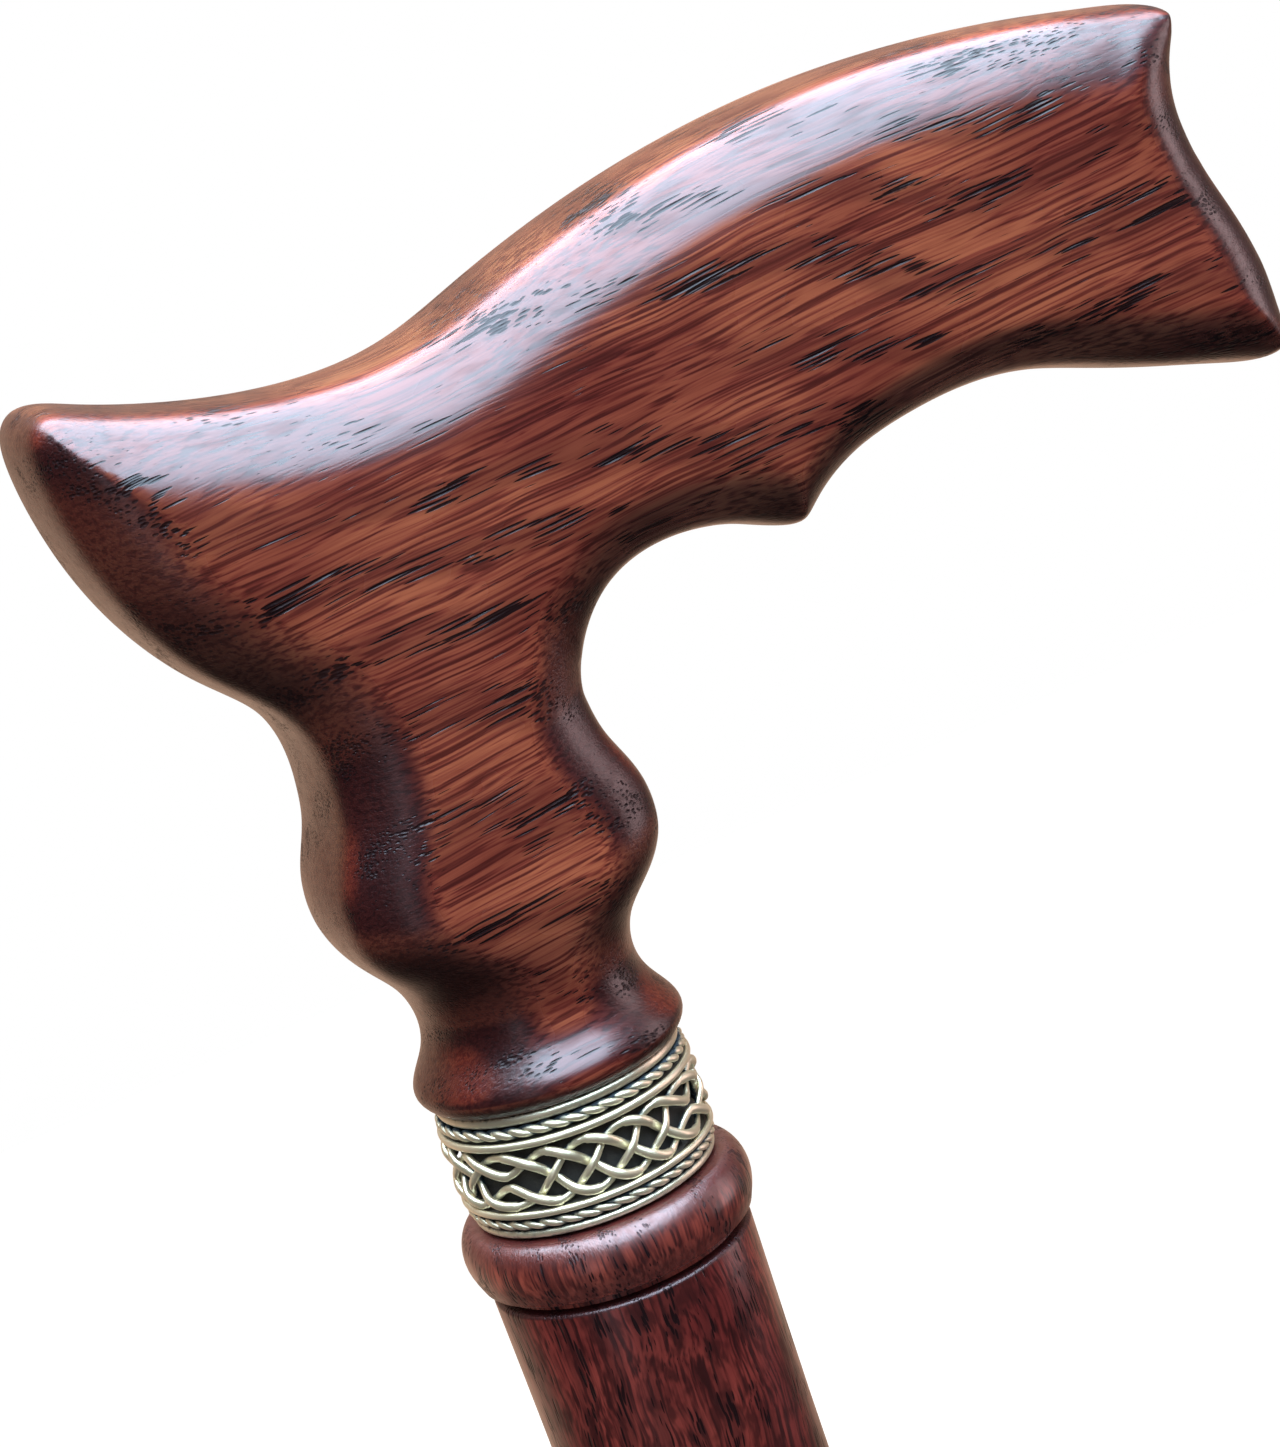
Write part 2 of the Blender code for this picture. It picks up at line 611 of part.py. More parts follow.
def build_tip(materials, parent, collection):
    """The rubber tip, a bell with a gripping foot and two ribs, and the disc in its bore."""
    bore = SHAFT_FOOT_RADIUS + TIP_BORE_CLEARANCE
    taper = (SHAFT_TOP_RADIUS - SHAFT_SWELL - SHAFT_FOOT_RADIUS) / (RIM_HEIGHT - SHAFT_FOOT_HEIGHT)
    mouth = bore + taper * (TIP_HEIGHT - TIP_BORE_LOW_Z)
    profile = [(0.0, TIP_BORE_LOW_Z), (bore, TIP_BORE_LOW_Z), (mouth, TIP_HEIGHT)]
    profile.append((TIP_MOUTH_RADIUS - TIP_LIP_CHAMFER, TIP_HEIGHT))
    profile.append((TIP_MOUTH_RADIUS, TIP_HEIGHT - TIP_LIP_CHAMFER))
    for rib in TIP_RIB_Z:
        profile.append((TIP_MOUTH_RADIUS, rib + TIP_RIB_HALF_FOOT))
        profile.append((TIP_RIB_RADIUS, rib + TIP_RIB_HALF_TOP))
        profile.append((TIP_RIB_RADIUS, rib - TIP_RIB_HALF_TOP))
        profile.append((TIP_MOUTH_RADIUS, rib - TIP_RIB_HALF_FOOT))
    profile += [(TIP_WAIST_RADIUS, TIP_WAIST_Z), (TIP_FLARE_RADIUS, TIP_FLARE_Z)]
    profile += [(TIP_FOOT_RADIUS, TIP_FOOT_WALL_Z), (TIP_FOOT_RADIUS, TIP_FOOT_CHAMFER)]
    profile += [(TIP_FOOT_RADIUS - TIP_FOOT_CHAMFER, 0.0), (TIP_GROOVE_MOUTH[0], 0.0)]
    profile += [(TIP_GROOVE_FLOOR[0], TIP_GROOVE_DEPTH), (TIP_GROOVE_FLOOR[1], TIP_GROOVE_DEPTH)]
    profile += [(TIP_GROOVE_MOUTH[1], 0.0), (0.0, 0.0)]
    turned("rubber_tip", profile, materials["rubber"], parent, collection, TIP_SEGMENTS)
    low = TIP_BORE_LOW_Z + DISC_LIFT
    high = low + DISC_THICKNESS
    disc = [(0.0, high), (DISC_RADIUS, high), (DISC_RADIUS, low), (0.0, low)]
    turned("tip_disc", disc, materials["steel"], parent, collection, DISC_SEGMENTS)


def main():
    clear_scene()
    cane = make_collection("walking_cane")
    guides = make_collection("cutters_and_guides")
    materials = make_materials()
    shaft_top = add_empty("shaft_top", RIM_HEIGHT - ORIGIN_HEIGHT, cane)
    tip_slide = add_empty("tip_slide", -ORIGIN_HEIGHT, cane)
    build_shaft(materials, shaft_top, cane)
    build_collar(materials, shaft_top, cane)
    build_ring(materials, shaft_top, cane, guides)
    build_stud(materials, shaft_top, cane)
    build_handle(materials, shaft_top, cane, guides)
    build_tip(materials, tip_slide, cane)


main()
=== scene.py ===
# %% [markdown]
# A walking cane: a few pieces of stained, open-pored wood and one silver ring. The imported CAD
# model gives every piece its place and size, so it is loaded first and stays as it is. Pieces
# that need a finer shape are modelled over it, and the rest get a finish only.

import json
import math

import bmesh
import bpy
import numpy as np
from mathutils import Matrix, Vector
from mathutils.geometry import delaunay_2d_cdt

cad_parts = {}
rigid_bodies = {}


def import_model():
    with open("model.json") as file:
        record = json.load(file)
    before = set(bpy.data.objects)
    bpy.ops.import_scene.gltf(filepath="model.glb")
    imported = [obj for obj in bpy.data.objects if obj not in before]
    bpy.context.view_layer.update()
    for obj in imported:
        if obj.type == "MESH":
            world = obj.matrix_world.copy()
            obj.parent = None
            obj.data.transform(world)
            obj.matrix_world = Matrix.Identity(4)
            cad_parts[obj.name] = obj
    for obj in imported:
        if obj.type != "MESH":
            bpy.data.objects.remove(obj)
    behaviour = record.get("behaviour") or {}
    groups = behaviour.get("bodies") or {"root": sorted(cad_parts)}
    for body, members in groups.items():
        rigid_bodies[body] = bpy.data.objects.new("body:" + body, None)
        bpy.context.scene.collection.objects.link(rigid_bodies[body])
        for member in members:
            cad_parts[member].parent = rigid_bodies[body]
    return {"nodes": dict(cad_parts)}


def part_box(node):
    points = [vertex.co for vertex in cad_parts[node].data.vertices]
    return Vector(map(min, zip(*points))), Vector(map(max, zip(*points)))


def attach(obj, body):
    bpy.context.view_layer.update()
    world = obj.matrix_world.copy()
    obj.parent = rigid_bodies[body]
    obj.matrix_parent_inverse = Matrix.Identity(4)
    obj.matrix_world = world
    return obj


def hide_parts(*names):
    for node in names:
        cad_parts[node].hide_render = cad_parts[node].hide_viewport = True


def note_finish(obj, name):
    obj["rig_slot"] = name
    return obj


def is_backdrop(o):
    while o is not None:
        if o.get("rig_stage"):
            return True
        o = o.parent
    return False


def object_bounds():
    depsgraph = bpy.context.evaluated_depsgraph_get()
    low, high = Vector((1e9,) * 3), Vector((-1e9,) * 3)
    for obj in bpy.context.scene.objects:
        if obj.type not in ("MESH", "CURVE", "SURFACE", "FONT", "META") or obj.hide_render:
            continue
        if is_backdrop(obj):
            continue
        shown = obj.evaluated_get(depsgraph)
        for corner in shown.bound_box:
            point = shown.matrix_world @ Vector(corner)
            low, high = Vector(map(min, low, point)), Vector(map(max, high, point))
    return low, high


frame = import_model()
cad_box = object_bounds()
nodes = frame["nodes"]
print("CAD nodes:", ", ".join(sorted(nodes)))

# %% [markdown]
# All sizes are in millimetres, and one constant turns them into Blender's metres. The ring, the
# collar and the handle were measured from the shaft's top rim, so its height is kept as well.

# %% Units and the rim
MM = 0.001
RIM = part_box("shaft")[1].z / MM
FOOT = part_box("rubber_tip")[0].z / MM
print(f"the shaft's rim is at {RIM:.1f} mm and the foot at {FOOT:.1f} mm")

# %% [markdown]
# The camera stands where the photographer stood: a third of a metre from the ring, a little
# above it, and turned so that the cane leans. Its numbers come from fitting the handle's outline.

# %% Camera
SENSOR, FOCAL_PIXELS, LONG_SIDE_PIXELS = 36.0, 3400.0, 1447.0
DISTANCE, HEIGHT_OVER_RIM = 330.14, 130.3
YAW, PITCH, ROLL = 0.05886, 0.23334, 0.00545
HANDLE_TURN, PICTURE_TURN = math.radians(13.5), math.radians(19.2)
NEAREST_SEEN = 0.01

forward = Vector((math.sin(YAW) * math.cos(PITCH), math.cos(YAW) * math.cos(PITCH), -math.sin(PITCH)))
level = Vector((math.cos(YAW), -math.sin(YAW), 0.0))
upright = level.cross(forward)
spin = ROLL - PICTURE_TURN
right = math.cos(spin) * level + math.sin(spin) * upright
up = math.cos(spin) * upright - math.sin(spin) * level
round_the_cane = Matrix.Rotation(-HANDLE_TURN, 3, "Z")
axes = Matrix((round_the_cane @ right, round_the_cane @ up, -(round_the_cane @ forward))).transposed()
stand = round_the_cane @ Vector((0.0, -DISTANCE, HEIGHT_OVER_RIM)) + Vector((0.0, 0.0, RIM))


def add_object(name, data):
    """A new object in the scene."""
    made = bpy.data.objects.new(name, data)
    bpy.context.scene.collection.objects.link(made)
    return made


camera_data = bpy.data.cameras.new("camera")
camera_data.sensor_width = SENSOR
camera_data.lens = SENSOR * FOCAL_PIXELS / LONG_SIDE_PIXELS
camera_data.clip_start = NEAREST_SEEN
camera = add_object("camera", camera_data)
camera.matrix_world = Matrix.Translation(stand * MM) @ axes.to_4x4()
bpy.context.scene.camera = camera
print("camera at", tuple(round(value, 3) for value in camera.location))

# %% [markdown]
# A material is a tree of nodes. These helpers add a node and feed its inputs, do one sum, map a
# range smoothly on another, and make a material. A socket's id_data is the tree that it is in.

# %% Helpers for nodes
WHITE = (1.0, 1.0, 1.0, 1.0)


def feed(node, values):
    """Give a node's inputs values, each a number, a colour or a socket to link from."""
    for socket, value in values.items():
        if isinstance(value, bpy.types.NodeSocket):
            node.id_data.links.new(value, node.inputs[socket])
        else:
            node.inputs[socket].default_value = value


def put(tree, kind, values=None, **settings):
    """Add a shader node with its settings, and feed it."""
    node = tree.nodes.new("ShaderNode" + kind)
    for key, value in settings.items():
        setattr(node, key, value)
    feed(node, values or {})
    return node


def maths(operation, first, second=0.0, third=0.0):
    """One Math node; returns its output socket."""
    return put(first.id_data, "Math", {0: first, 1: second, 2: third}, operation=operation).outputs[0]


def times(first, second, plus=0.0):
    """first * second + plus."""
    return maths("MULTIPLY_ADD", first, second, plus)


def smooth_step(value, start, end, low=0.0, high=1.0):
    """low before start, high after end, smooth between."""
    values = {"Value": value, "From Min": start, "From Max": end, "To Min": low, "To Max": high}
    return put(value.id_data, "MapRange", values, interpolation_type="SMOOTHSTEP").outputs["Result"]


def new_finish(name, values):
    """A material, its tree and its Principled shader, which has these values."""
    material = bpy.data.materials.new(name)
    material.use_nodes = True
    shader = material.node_tree.nodes["Principled BSDF"]
    feed(shader, values)
    return material, material.node_tree, shader


# %% [markdown]
# The studio is a white room with a pale floor. The world gives dim light, but the camera,
# reflections and refractions see it white. The floor glows a little in the same way and still
# keeps the shadow. It lies so far under the foot that the tip can be pulled off above it.

# %% Floor and world
FLOOR_SIZE, TIP_TRAVEL, CLEARANCE = 6.0, 30.0, 1.0
WORLD_LIGHT, FLOOR_GLOW = 0.36, 0.72
floor_height = (FOOT - TIP_TRAVEL - CLEARANCE) * MM
bpy.ops.mesh.primitive_plane_add(size=FLOOR_SIZE, location=(0.0, 0.0, floor_height))
floor = bpy.context.object
floor.name = "studio_floor"
floor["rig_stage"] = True


def seen_directly(tree):
    """1 for rays of the camera, of reflections and of refractions, and 0 for the rest."""
    path = put(tree, "LightPath")
    total = path.outputs["Is Camera Ray"]
    for name in ("Is Glossy Ray", "Is Transmission Ray"):
        total = maths("MAXIMUM", total, path.outputs[name])
    return total


world = bpy.data.worlds.new("studio_world")
bpy.context.scene.world = world
world.use_nodes = True
tree = world.node_tree
strength = times(seen_directly(tree), 1.0 - WORLD_LIGHT, WORLD_LIGHT)
feed(tree.nodes["Background"], {"Color": WHITE, "Strength": strength})

matt = {"Base Color": (0.8, 0.79, 0.77, 1.0), "Roughness": 0.9, "Specular IOR Level": 0.1}
paper, tree, surface = new_finish("pale_paper", matt)
glow = times(seen_directly(tree), FLOOR_GLOW)
feed(surface, {"Emission Color": WHITE, "Emission Strength": glow})
floor.data.materials.append(paper)
print(f"the floor is {floor_height / MM:.1f} mm from the origin")

# %% [markdown]
# Lacquer and silver show the room, so a curtain hangs all round and goes on as a rug. It is dark
# behind the camera, so the flat of the handle keeps its deep colour. Behind the cane it glows like
# linen, more brightly low down, and this glow gives the edges their tan. Only reflections see it.

# %% Curtain
CURTAIN_RADIUS, CURTAIN_HEIGHT, CURTAIN_SIDES, RUG_OVER_FOOT = 1.8, 2.6, 48, 0.01
LINEN, LINEN_GLOW, VELVET = (0.88, 0.57, 0.40, 1.0), 0.54, (0.02, 0.02, 0.022, 1.0)
LINEN_STARTS, LINEN_FULL = 0.3, 1.7
LOW_LINEN = {"From Min": -1.2, "From Max": -0.4, "To Min": 1.9, "To Max": 1.0}
bpy.ops.object.select_all(action="DESELECT")
bpy.ops.mesh.primitive_cylinder_add(
    vertices=CURTAIN_SIDES,
    radius=CURTAIN_RADIUS,
    depth=CURTAIN_HEIGHT,
    end_fill_type="NGON",
    location=(0.0, 0.0, FOOT * MM + RUG_OVER_FOOT + CURTAIN_HEIGHT / 2),
)
curtain = bpy.context.object
curtain.name = "studio_curtain"
bpy.ops.object.mode_set(mode="EDIT")
bpy.ops.mesh.select_all(action="DESELECT")
bpy.ops.object.mode_set(mode="OBJECT")
for face in curtain.data.polygons:
    # Only the lid, which comes off, lies so high.
    face.select = face.center.z > 0.4 * CURTAIN_HEIGHT
bpy.ops.object.mode_set(mode="EDIT")
bpy.ops.mesh.delete(type="FACE")
bpy.ops.object.mode_set(mode="OBJECT")

dull = {"Base Color": VELVET, "Roughness": 1.0, "Specular IOR Level": 0.0, "Emission Color": LINEN}
cloth, tree, surface = new_finish("velvet_and_linen", dull)
parts = put(tree, "SeparateXYZ", {0: put(tree, "TexCoord").outputs["Object"]}).outputs
# The linen glows by its own emission, more brightly low down.
linen = smooth_step(parts["Y"], LINEN_STARTS, LINEN_FULL, 0.0, LINEN_GLOW)
lower = put(tree, "MapRange", {"Value": parts["Z"], **LOW_LINEN}).outputs["Result"]
feed(surface, {"Emission Strength": times(linen, lower)})
curtain.data.materials.append(cloth)
for kind in ("camera", "diffuse", "transmission", "shadow"):
    setattr(curtain, "visible_" + kind, False)
curtain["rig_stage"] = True
print("the curtain has", len(curtain.data.polygons), "faces")

# %% [markdown]
# Soft boxes light the cane so that a colour renders about as it is written. A bright card over
# the handle shows in reflections only, and draws the long highlight on the bevels.

# %% Lamps
HANDLE_MIDDLE, SHAFT_MIDDLE, UNDER_CARD = (0.03, 0.0, -0.02), (0.0, 0.0, -0.35), (0.1, -0.58, 0.0)
# Place and target, size in metres, power in watts, colour, and the rays that don't see the lamp.
LAMPS = {
    "overhead_box": ((-0.15, -0.2, 0.9), HANDLE_MIDDLE, (1.4, 0.8), 16.0, (1.0, 0.97, 0.93), "glossy"),
    "bright_card": ((0.1, -0.58, 0.9), UNDER_CARD, (1.6, 2.1), 175.0, (0.58, 0.77, 0.97), "diffuse"),
    "left_box": ((-0.8, -1.0, -0.1), HANDLE_MIDDLE, (0.25, 0.9), 0.8, (1.0, 0.85, 0.95), None),
    "right_box": ((1.1, -0.15, 0.0), HANDLE_MIDDLE, (0.4, 0.9), 4.0, (1.0, 0.72, 0.74), None),
    "back_box": ((0.2, 1.8, 0.3), SHAFT_MIDDLE, (1.0, 1.2), 7.0, (1.0, 0.94, 0.85), "glossy"),
}
for name, (place, target, size, power, colour, unseen) in LAMPS.items():
    lamp = bpy.data.lights.new(name, "AREA")
    lamp.shape = "RECTANGLE"
    lamp.size, lamp.size_y = size
    lamp.energy = power
    lamp.color = colour
    box = add_object(name, lamp)
    box.location = place
    box.rotation_euler = (Vector(target) - Vector(place)).to_track_quat("-Z", "Y").to_euler()
    if unseen:
        setattr(box, "visible_" + unseen, False)
    print(f"{name}: {power / (4 * size[0] * size[1]):.1f} times as bright as white paper")
bpy.context.scene.view_settings.view_transform = "Standard"

# %% [markdown]
# These helpers do what a maker does with the mouse. One selects a piece and nothing else, because
# an operator acts on all that is selected. One finishes a piece, and one hangs it on its body.

# %% Helpers for modelling by hand


def pick(piece):
    """Select one piece and make it the active one."""
    bpy.ops.object.select_all(action="DESELECT")
    piece.select_set(True)
    bpy.context.view_layer.objects.active = piece


def finish_piece(piece, weld=0.02, angle=35.0):
    """Apply the place, weld close points, turn the faces outwards and shade smooth."""
    pick(piece)
    bpy.ops.object.transform_apply()
    bpy.ops.object.mode_set(mode="EDIT")
    bpy.ops.mesh.select_all(action="SELECT")
    bpy.ops.mesh.remove_doubles(threshold=weld * MM)
    bpy.ops.mesh.normals_make_consistent(inside=False)
    bpy.ops.object.mode_set(mode="OBJECT")
    bpy.ops.object.shade_smooth_by_angle(angle=math.radians(angle))
    size = piece.dimensions / MM
    print(f"{piece.name}: {len(piece.data.polygons)} faces, {size.x:.1f} x {size.y:.1f} x {size.z:.1f} mm")


def join_to_cane(piece, node, slot, body="cane"):
    """Let a finished piece stand for its CAD node and move with its body."""
    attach(piece, body)
    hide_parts(node)
    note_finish(piece, slot)


# %% [markdown]
# On a lathe the tool follows a profile. Here a ring of edges does: it is extruded from row to row
# and scaled to each row's radius. A profile that ends near the axis closes to a point when its
# last tiny ring is welded, and a tube's profile ends where it began.

# %% A lathe
NEAR_AXIS = 0.004


def add_circle(name, sides, radius, place=(0.0, 0.0, 0.0), turn=(0.0, 0.0, 0.0)):
    """A ring of edges; the radius is in millimetres and the place in metres."""
    bpy.ops.object.select_all(action="DESELECT")
    bpy.ops.mesh.primitive_circle_add(vertices=sides, radius=radius * MM, location=place, rotation=turn)
    circle = bpy.context.object
    circle.name = circle.data.name = name
    bpy.ops.object.transform_apply()
    return circle


def turn_profile(name, rows, base, sides):
    """Extrude a ring of edges through rows of radius and height over a base."""
    profile = [(radius, height + base) for radius, height in rows]
    radius, height = profile[0]
    piece = add_circle(name, sides, radius, (0.0, 0.0, height * MM))
    bpy.ops.object.mode_set(mode="EDIT")
    bpy.ops.mesh.select_all(action="SELECT")
    for next_radius, next_height in profile[1:]:
        rise = (0.0, 0.0, (next_height - height) * MM)
        bpy.ops.mesh.extrude_region_move(TRANSFORM_OT_translate={"value": rise})
        growth = next_radius / radius
        centre = (0.0, 0.0, next_height * MM)
        bpy.ops.transform.resize(value=(growth, growth, 1.0), center_override=centre)
        radius, height = next_radius, next_height
    bpy.ops.object.mode_set(mode="OBJECT")
    return piece


def rounded(centre, reach, start, end, steps):
    """Rows of an elliptical arc; angles are in degrees from straight out."""
    rows = []
    for i in range(steps + 1):
        angle = math.radians(start + (end - start) * i / steps)
        rows.append((centre[0] + reach[0] * math.cos(angle), centre[1] + reach[1] * math.sin(angle)))
    return rows


# %% [markdown]
# The collar overhangs the shaft's rim with a thin lip, swells in an elliptical arc, which is the
# form a gouge leaves, and rounds in to the ring's ledge. Its tenon goes up inside the ring.

# %% Turn the collar
STUD_BORE = 3.3
collar_rows = [(STUD_BORE, 21.2), (9.7, 21.2), (10.05, 21.05), (10.2, 20.7), (10.2, 7.8), (12.6, 7.8)]
collar_rows += rounded((13.4, 4.5), (2.1, 3.3), 80.0, 0.0, 18)
collar_rows += [(15.46, 3.9), (15.34, 3.3), (15.16, 2.7), (14.97, 2.2), (14.82, 1.8), (14.72, 1.62)]
collar_rows += rounded((14.45, 1.6), (0.27, 0.3), 0.0, -90.0, 5)
collar_rows += [(14.1, 1.27), (13.5, 1.22), (13.22, 1.1), (13.2, 0.3), (STUD_BORE, 0.3), (STUD_BORE, 21.2)]
collar = turn_profile("turned_collar", collar_rows, RIM, 128)
finish_piece(collar)
join_to_cane(collar, "collar", "handle_wood")

# %% [markdown]
# The shaft is a long taper with a slight swell under its rim. The rim has a small chamfer, which
# catches the light, and a blind hole for the stud.

# %% Turn the shaft
SHAFT_FOOT, TAPER_TOP, TAPER_FROM_RIM, TAPER_END, TAPER_ROWS = 14.0, 13.65, 22.0, 9.5, 12
low = FOOT + SHAFT_FOOT
shaft_rows = [(NEAR_AXIS, RIM - 30.0), (STUD_BORE, RIM - 28.0), (STUD_BORE, RIM), (13.5, RIM)]
shaft_rows += [(13.75, RIM - 0.12), (13.95, RIM - 0.35), (14.0, RIM - 0.6), (13.86, RIM - 8.0)]
shaft_rows += [(13.74, RIM - 15.0), (TAPER_TOP, RIM - TAPER_FROM_RIM)]
for i in range(1, TAPER_ROWS):
    part = i / TAPER_ROWS
    drop = (RIM - TAPER_FROM_RIM - low - 0.5) * part
    shaft_rows.append((TAPER_TOP + (TAPER_END - TAPER_TOP) * part, RIM - TAPER_FROM_RIM - drop))
shaft_rows += [(TAPER_END, low + 0.5), (9.0, low), (NEAR_AXIS, low)]
shaft = turn_profile("tapered_shaft", shaft_rows, 0.0, 96)
finish_piece(shaft)
join_to_cane(shaft, "shaft", "shaft_wood")

# %% [markdown]
# The sleeve carries the ring's wires. It is a thin tube with a low shoulder behind each of the
# two inner beads.

# %% Turn the sleeve
sleeve_rows = [(12.0, 21.3)]
for middle in (18.4, 10.9):
    sleeve_rows += [(12.0, middle + 0.5), (12.75, middle + 0.2), (12.75, middle - 0.2), (12.0, middle - 0.5)]
sleeve_rows += [(12.0, 8.1), (10.5, 8.1), (10.5, 21.3), (12.0, 21.3)]
sleeve = turn_profile("turned_sleeve", sleeve_rows, RIM, 128)
finish_piece(sleeve)
join_to_cane(sleeve, "ring_sleeve", "dark_silver")

# %% [markdown]
# Four plain wires border the ring. Each is an upright oval, spun once round the axis.

# %% Bend the plain wires
WIRE_SIDES, SPIN_STEPS = 14, 200
# Height, radius of the ring, and half the width and the height of the wire.
BEADS = {
    "lower_outer_bead": (8.55, 12.6, 0.36, 0.43),
    "lower_inner_bead": (10.9, 13.25, 0.35, 0.38),
    "upper_inner_bead": (18.4, 13.25, 0.35, 0.43),
    "upper_outer_bead": (20.85, 12.6, 0.40, 0.53),
}
for node, (height, radius, half_width, half_height) in BEADS.items():
    centre = (radius * MM, 0.0, (height + RIM) * MM)
    wire = add_circle(node + "_wire", WIRE_SIDES, half_width, centre, (math.pi / 2, 0.0, 0.0))
    bpy.ops.object.mode_set(mode="EDIT")
    bpy.ops.mesh.select_all(action="SELECT")
    bpy.ops.transform.resize(value=(1.0, 1.0, half_height / half_width), center_override=centre)
    bpy.ops.mesh.spin(steps=SPIN_STEPS, angle=2 * math.pi, center=(0.0, 0.0, 0.0), axis=(0.0, 0.0, 1.0))
    bpy.ops.object.mode_set(mode="OBJECT")
    finish_piece(wire)
    join_to_cane(wire, node, "silver")

# %% [markdown]
# The other wires are closed lines of points that a section follows, tilted or made narrower on
# its way. Blender does that with a curve and its bevel object, and then makes it a mesh.

# %% Helpers for shaped wires


def ring_of_points(name, places, dimensions="3D"):
    """A closed curve through places in millimetres; a section is 2D."""
    ring = add_circle(name, len(places), 1.0)
    for vertex, place in zip(ring.data.vertices, places):
        vertex.co = Vector(place) * MM
    pick(ring)
    bpy.ops.object.convert(target="CURVE")
    ring.data.dimensions = dimensions
    ring.data.twist_mode = "Z_UP"
    return ring


def circle_places(count, radius, height=0.0):
    """Places on a circle round the axis."""
    turns = [2 * math.pi * i / count for i in range(count)]
    return [(radius * math.cos(turn), radius * math.sin(turn), height) for turn in turns]


def shape_wire(name, places, section_places, tilts=None, widths=None):
    """Sweep a section along places; tilts and widths have a value for each place."""
    wire = ring_of_points(name, places)
    section = ring_of_points(name + "_section", section_places, "2D")
    wire.data.bevel_mode = "OBJECT"
    wire.data.bevel_object = section
    for point in wire.data.splines[0].points:
        # Converting may renumber the points, so each looks for its own place.
        at = Vector(point.co[:3]) / MM
        nearest = min(range(len(places)), key=lambda i: (Vector(places[i]) - at).length_squared)
        if tilts:
            point.tilt = tilts[nearest]
        if widths:
            point.radius = widths[nearest]
    pick(wire)
    bpy.ops.object.convert(target="MESH")
    bpy.data.objects.remove(section, do_unlink=True)
    finish_piece(wire, weld=0.001, angle=60.0)
    return wire


# %% [markdown]
# A rope border is two thin wires twisted together. Its section has two lobes and a groove between
# them, and a tilt that grows from point to point twists it: half a turn for each lobe that shows.

# %% Twist the rope borders
ROPES = {"lower_rope": (9.72, 0.56), "upper_rope": (19.62, 0.62)}
ROPE_RADIUS, ROPE_LOBES, POINTS_A_LOBE = 12.8, 42, 8
GROOVE, PLUMPNESS, LOBE_POINTS = 0.5, 0.6, 36

tilts = [-math.pi * i / POINTS_A_LOBE for i in range(ROPE_LOBES * POINTS_A_LOBE)]
for node, (height, radius) in ROPES.items():
    lobes = []
    for x, y, z in circle_places(LOBE_POINTS, 1.0):
        out = radius * (1.0 - GROOVE + GROOVE * abs(x) ** PLUMPNESS)
        lobes.append((out * x, out * y, z))
    rope = shape_wire(node + "_twist", circle_places(len(tilts), ROPE_RADIUS, height + RIM), lobes, tilts)
    join_to_cane(rope, node, "silver")

# %% [markdown]
# The interlace is two closed strands that each go twice round the ring and cross in columns.
# Before each group is a broken column, where they turn back and leave a pair of leaf-shaped eyes.
# A strand's state at a column says where it is and which way it goes, so the states trace it.

# %% Plan the interlace
KNOT_RADIUS, KNOT_MIDDLE, KNOT_REACH = 12.95, 14.5, 2.7
KNOT_BOUNCE, KNOT_LIFT = 0.65, 0.42
KNOT_GROUPS, KNOT_STEP, KNOT_START = (4, 4, 4, 2), math.radians(18.5), math.radians(-53.0)
KNOT_SECTION, KNOT_BROAD, KNOT_NARROW = (0.42, 0.52), 1.0, 0.78

breaks = len(KNOT_GROUPS)
plain = sum(KNOT_GROUPS) - breaks
break_step = (2 * math.pi - KNOT_STEP * plain) / (2 * breaks)
# The angle of each column, and whether it is a broken one.
columns = []
angle = 0.0
for count in KNOT_GROUPS:
    columns.append((angle, True))
    angle += break_step
    columns += [(angle + i * KNOT_STEP, False) for i in range(count)]
    angle += (count - 1) * KNOT_STEP + break_step

# Height, lift and the state at the next column.
STATES = {
    "top": (KNOT_REACH, 0.0, "falling"),
    "falling": (0.0, -KNOT_LIFT, "bottom"),
    "bottom": (-KNOT_REACH, 0.0, "rising"),
    "rising": (0.0, KNOT_LIFT, "top"),
    "high_turn": (KNOT_BOUNCE, 0.0, "top"),
    "low_turn": (-KNOT_BOUNCE, 0.0, "bottom"),
}
TURNED_BACK = {"falling": "high_turn", "rising": "low_turn"}


def trace_strand(start):
    """Angle, height and lift of a strand at and between columns, until it closes."""
    corner = math.sqrt(0.5) * KNOT_REACH
    keys = []
    state, turn = start, 0.0
    while turn == 0.0 or state != start:
        for i, (angle, broken) in enumerate(columns):
            next_angle, next_broken = columns[(i + 1) % len(columns)]
            if next_angle < angle:
                next_angle += 2 * math.pi
            between = next_angle - KNOT_STEP / 2 if broken else angle + KNOT_STEP / 2
            height, lift, following = STATES[state]
            keys.append((turn + angle, height, lift))
            upper = state in ("top", "rising", "high_turn")
            rising = state in ("bottom", "rising", "high_turn")
            keys.append((turn + between, corner if upper else -corner, -KNOT_LIFT if rising else KNOT_LIFT))
            state = TURNED_BACK.get(following, following) if next_broken else following
        turn += 2 * math.pi
    return keys, turn


strands = [trace_strand(start) for start in ("top", "high_turn")]
print(f"{len(columns)} columns; the strands have {len(strands[0][0])} and {len(strands[1][0])} keys")

# %% [markdown]
# Between its keys a strand follows a smooth curve. The wire is an oval, and it is broader where
# it falls to the right than where it rises, as on the real ring. It rides over what it crosses.

# %% Bend the interlace
POINTS_A_KEY, OVAL_POINTS = 8, 20


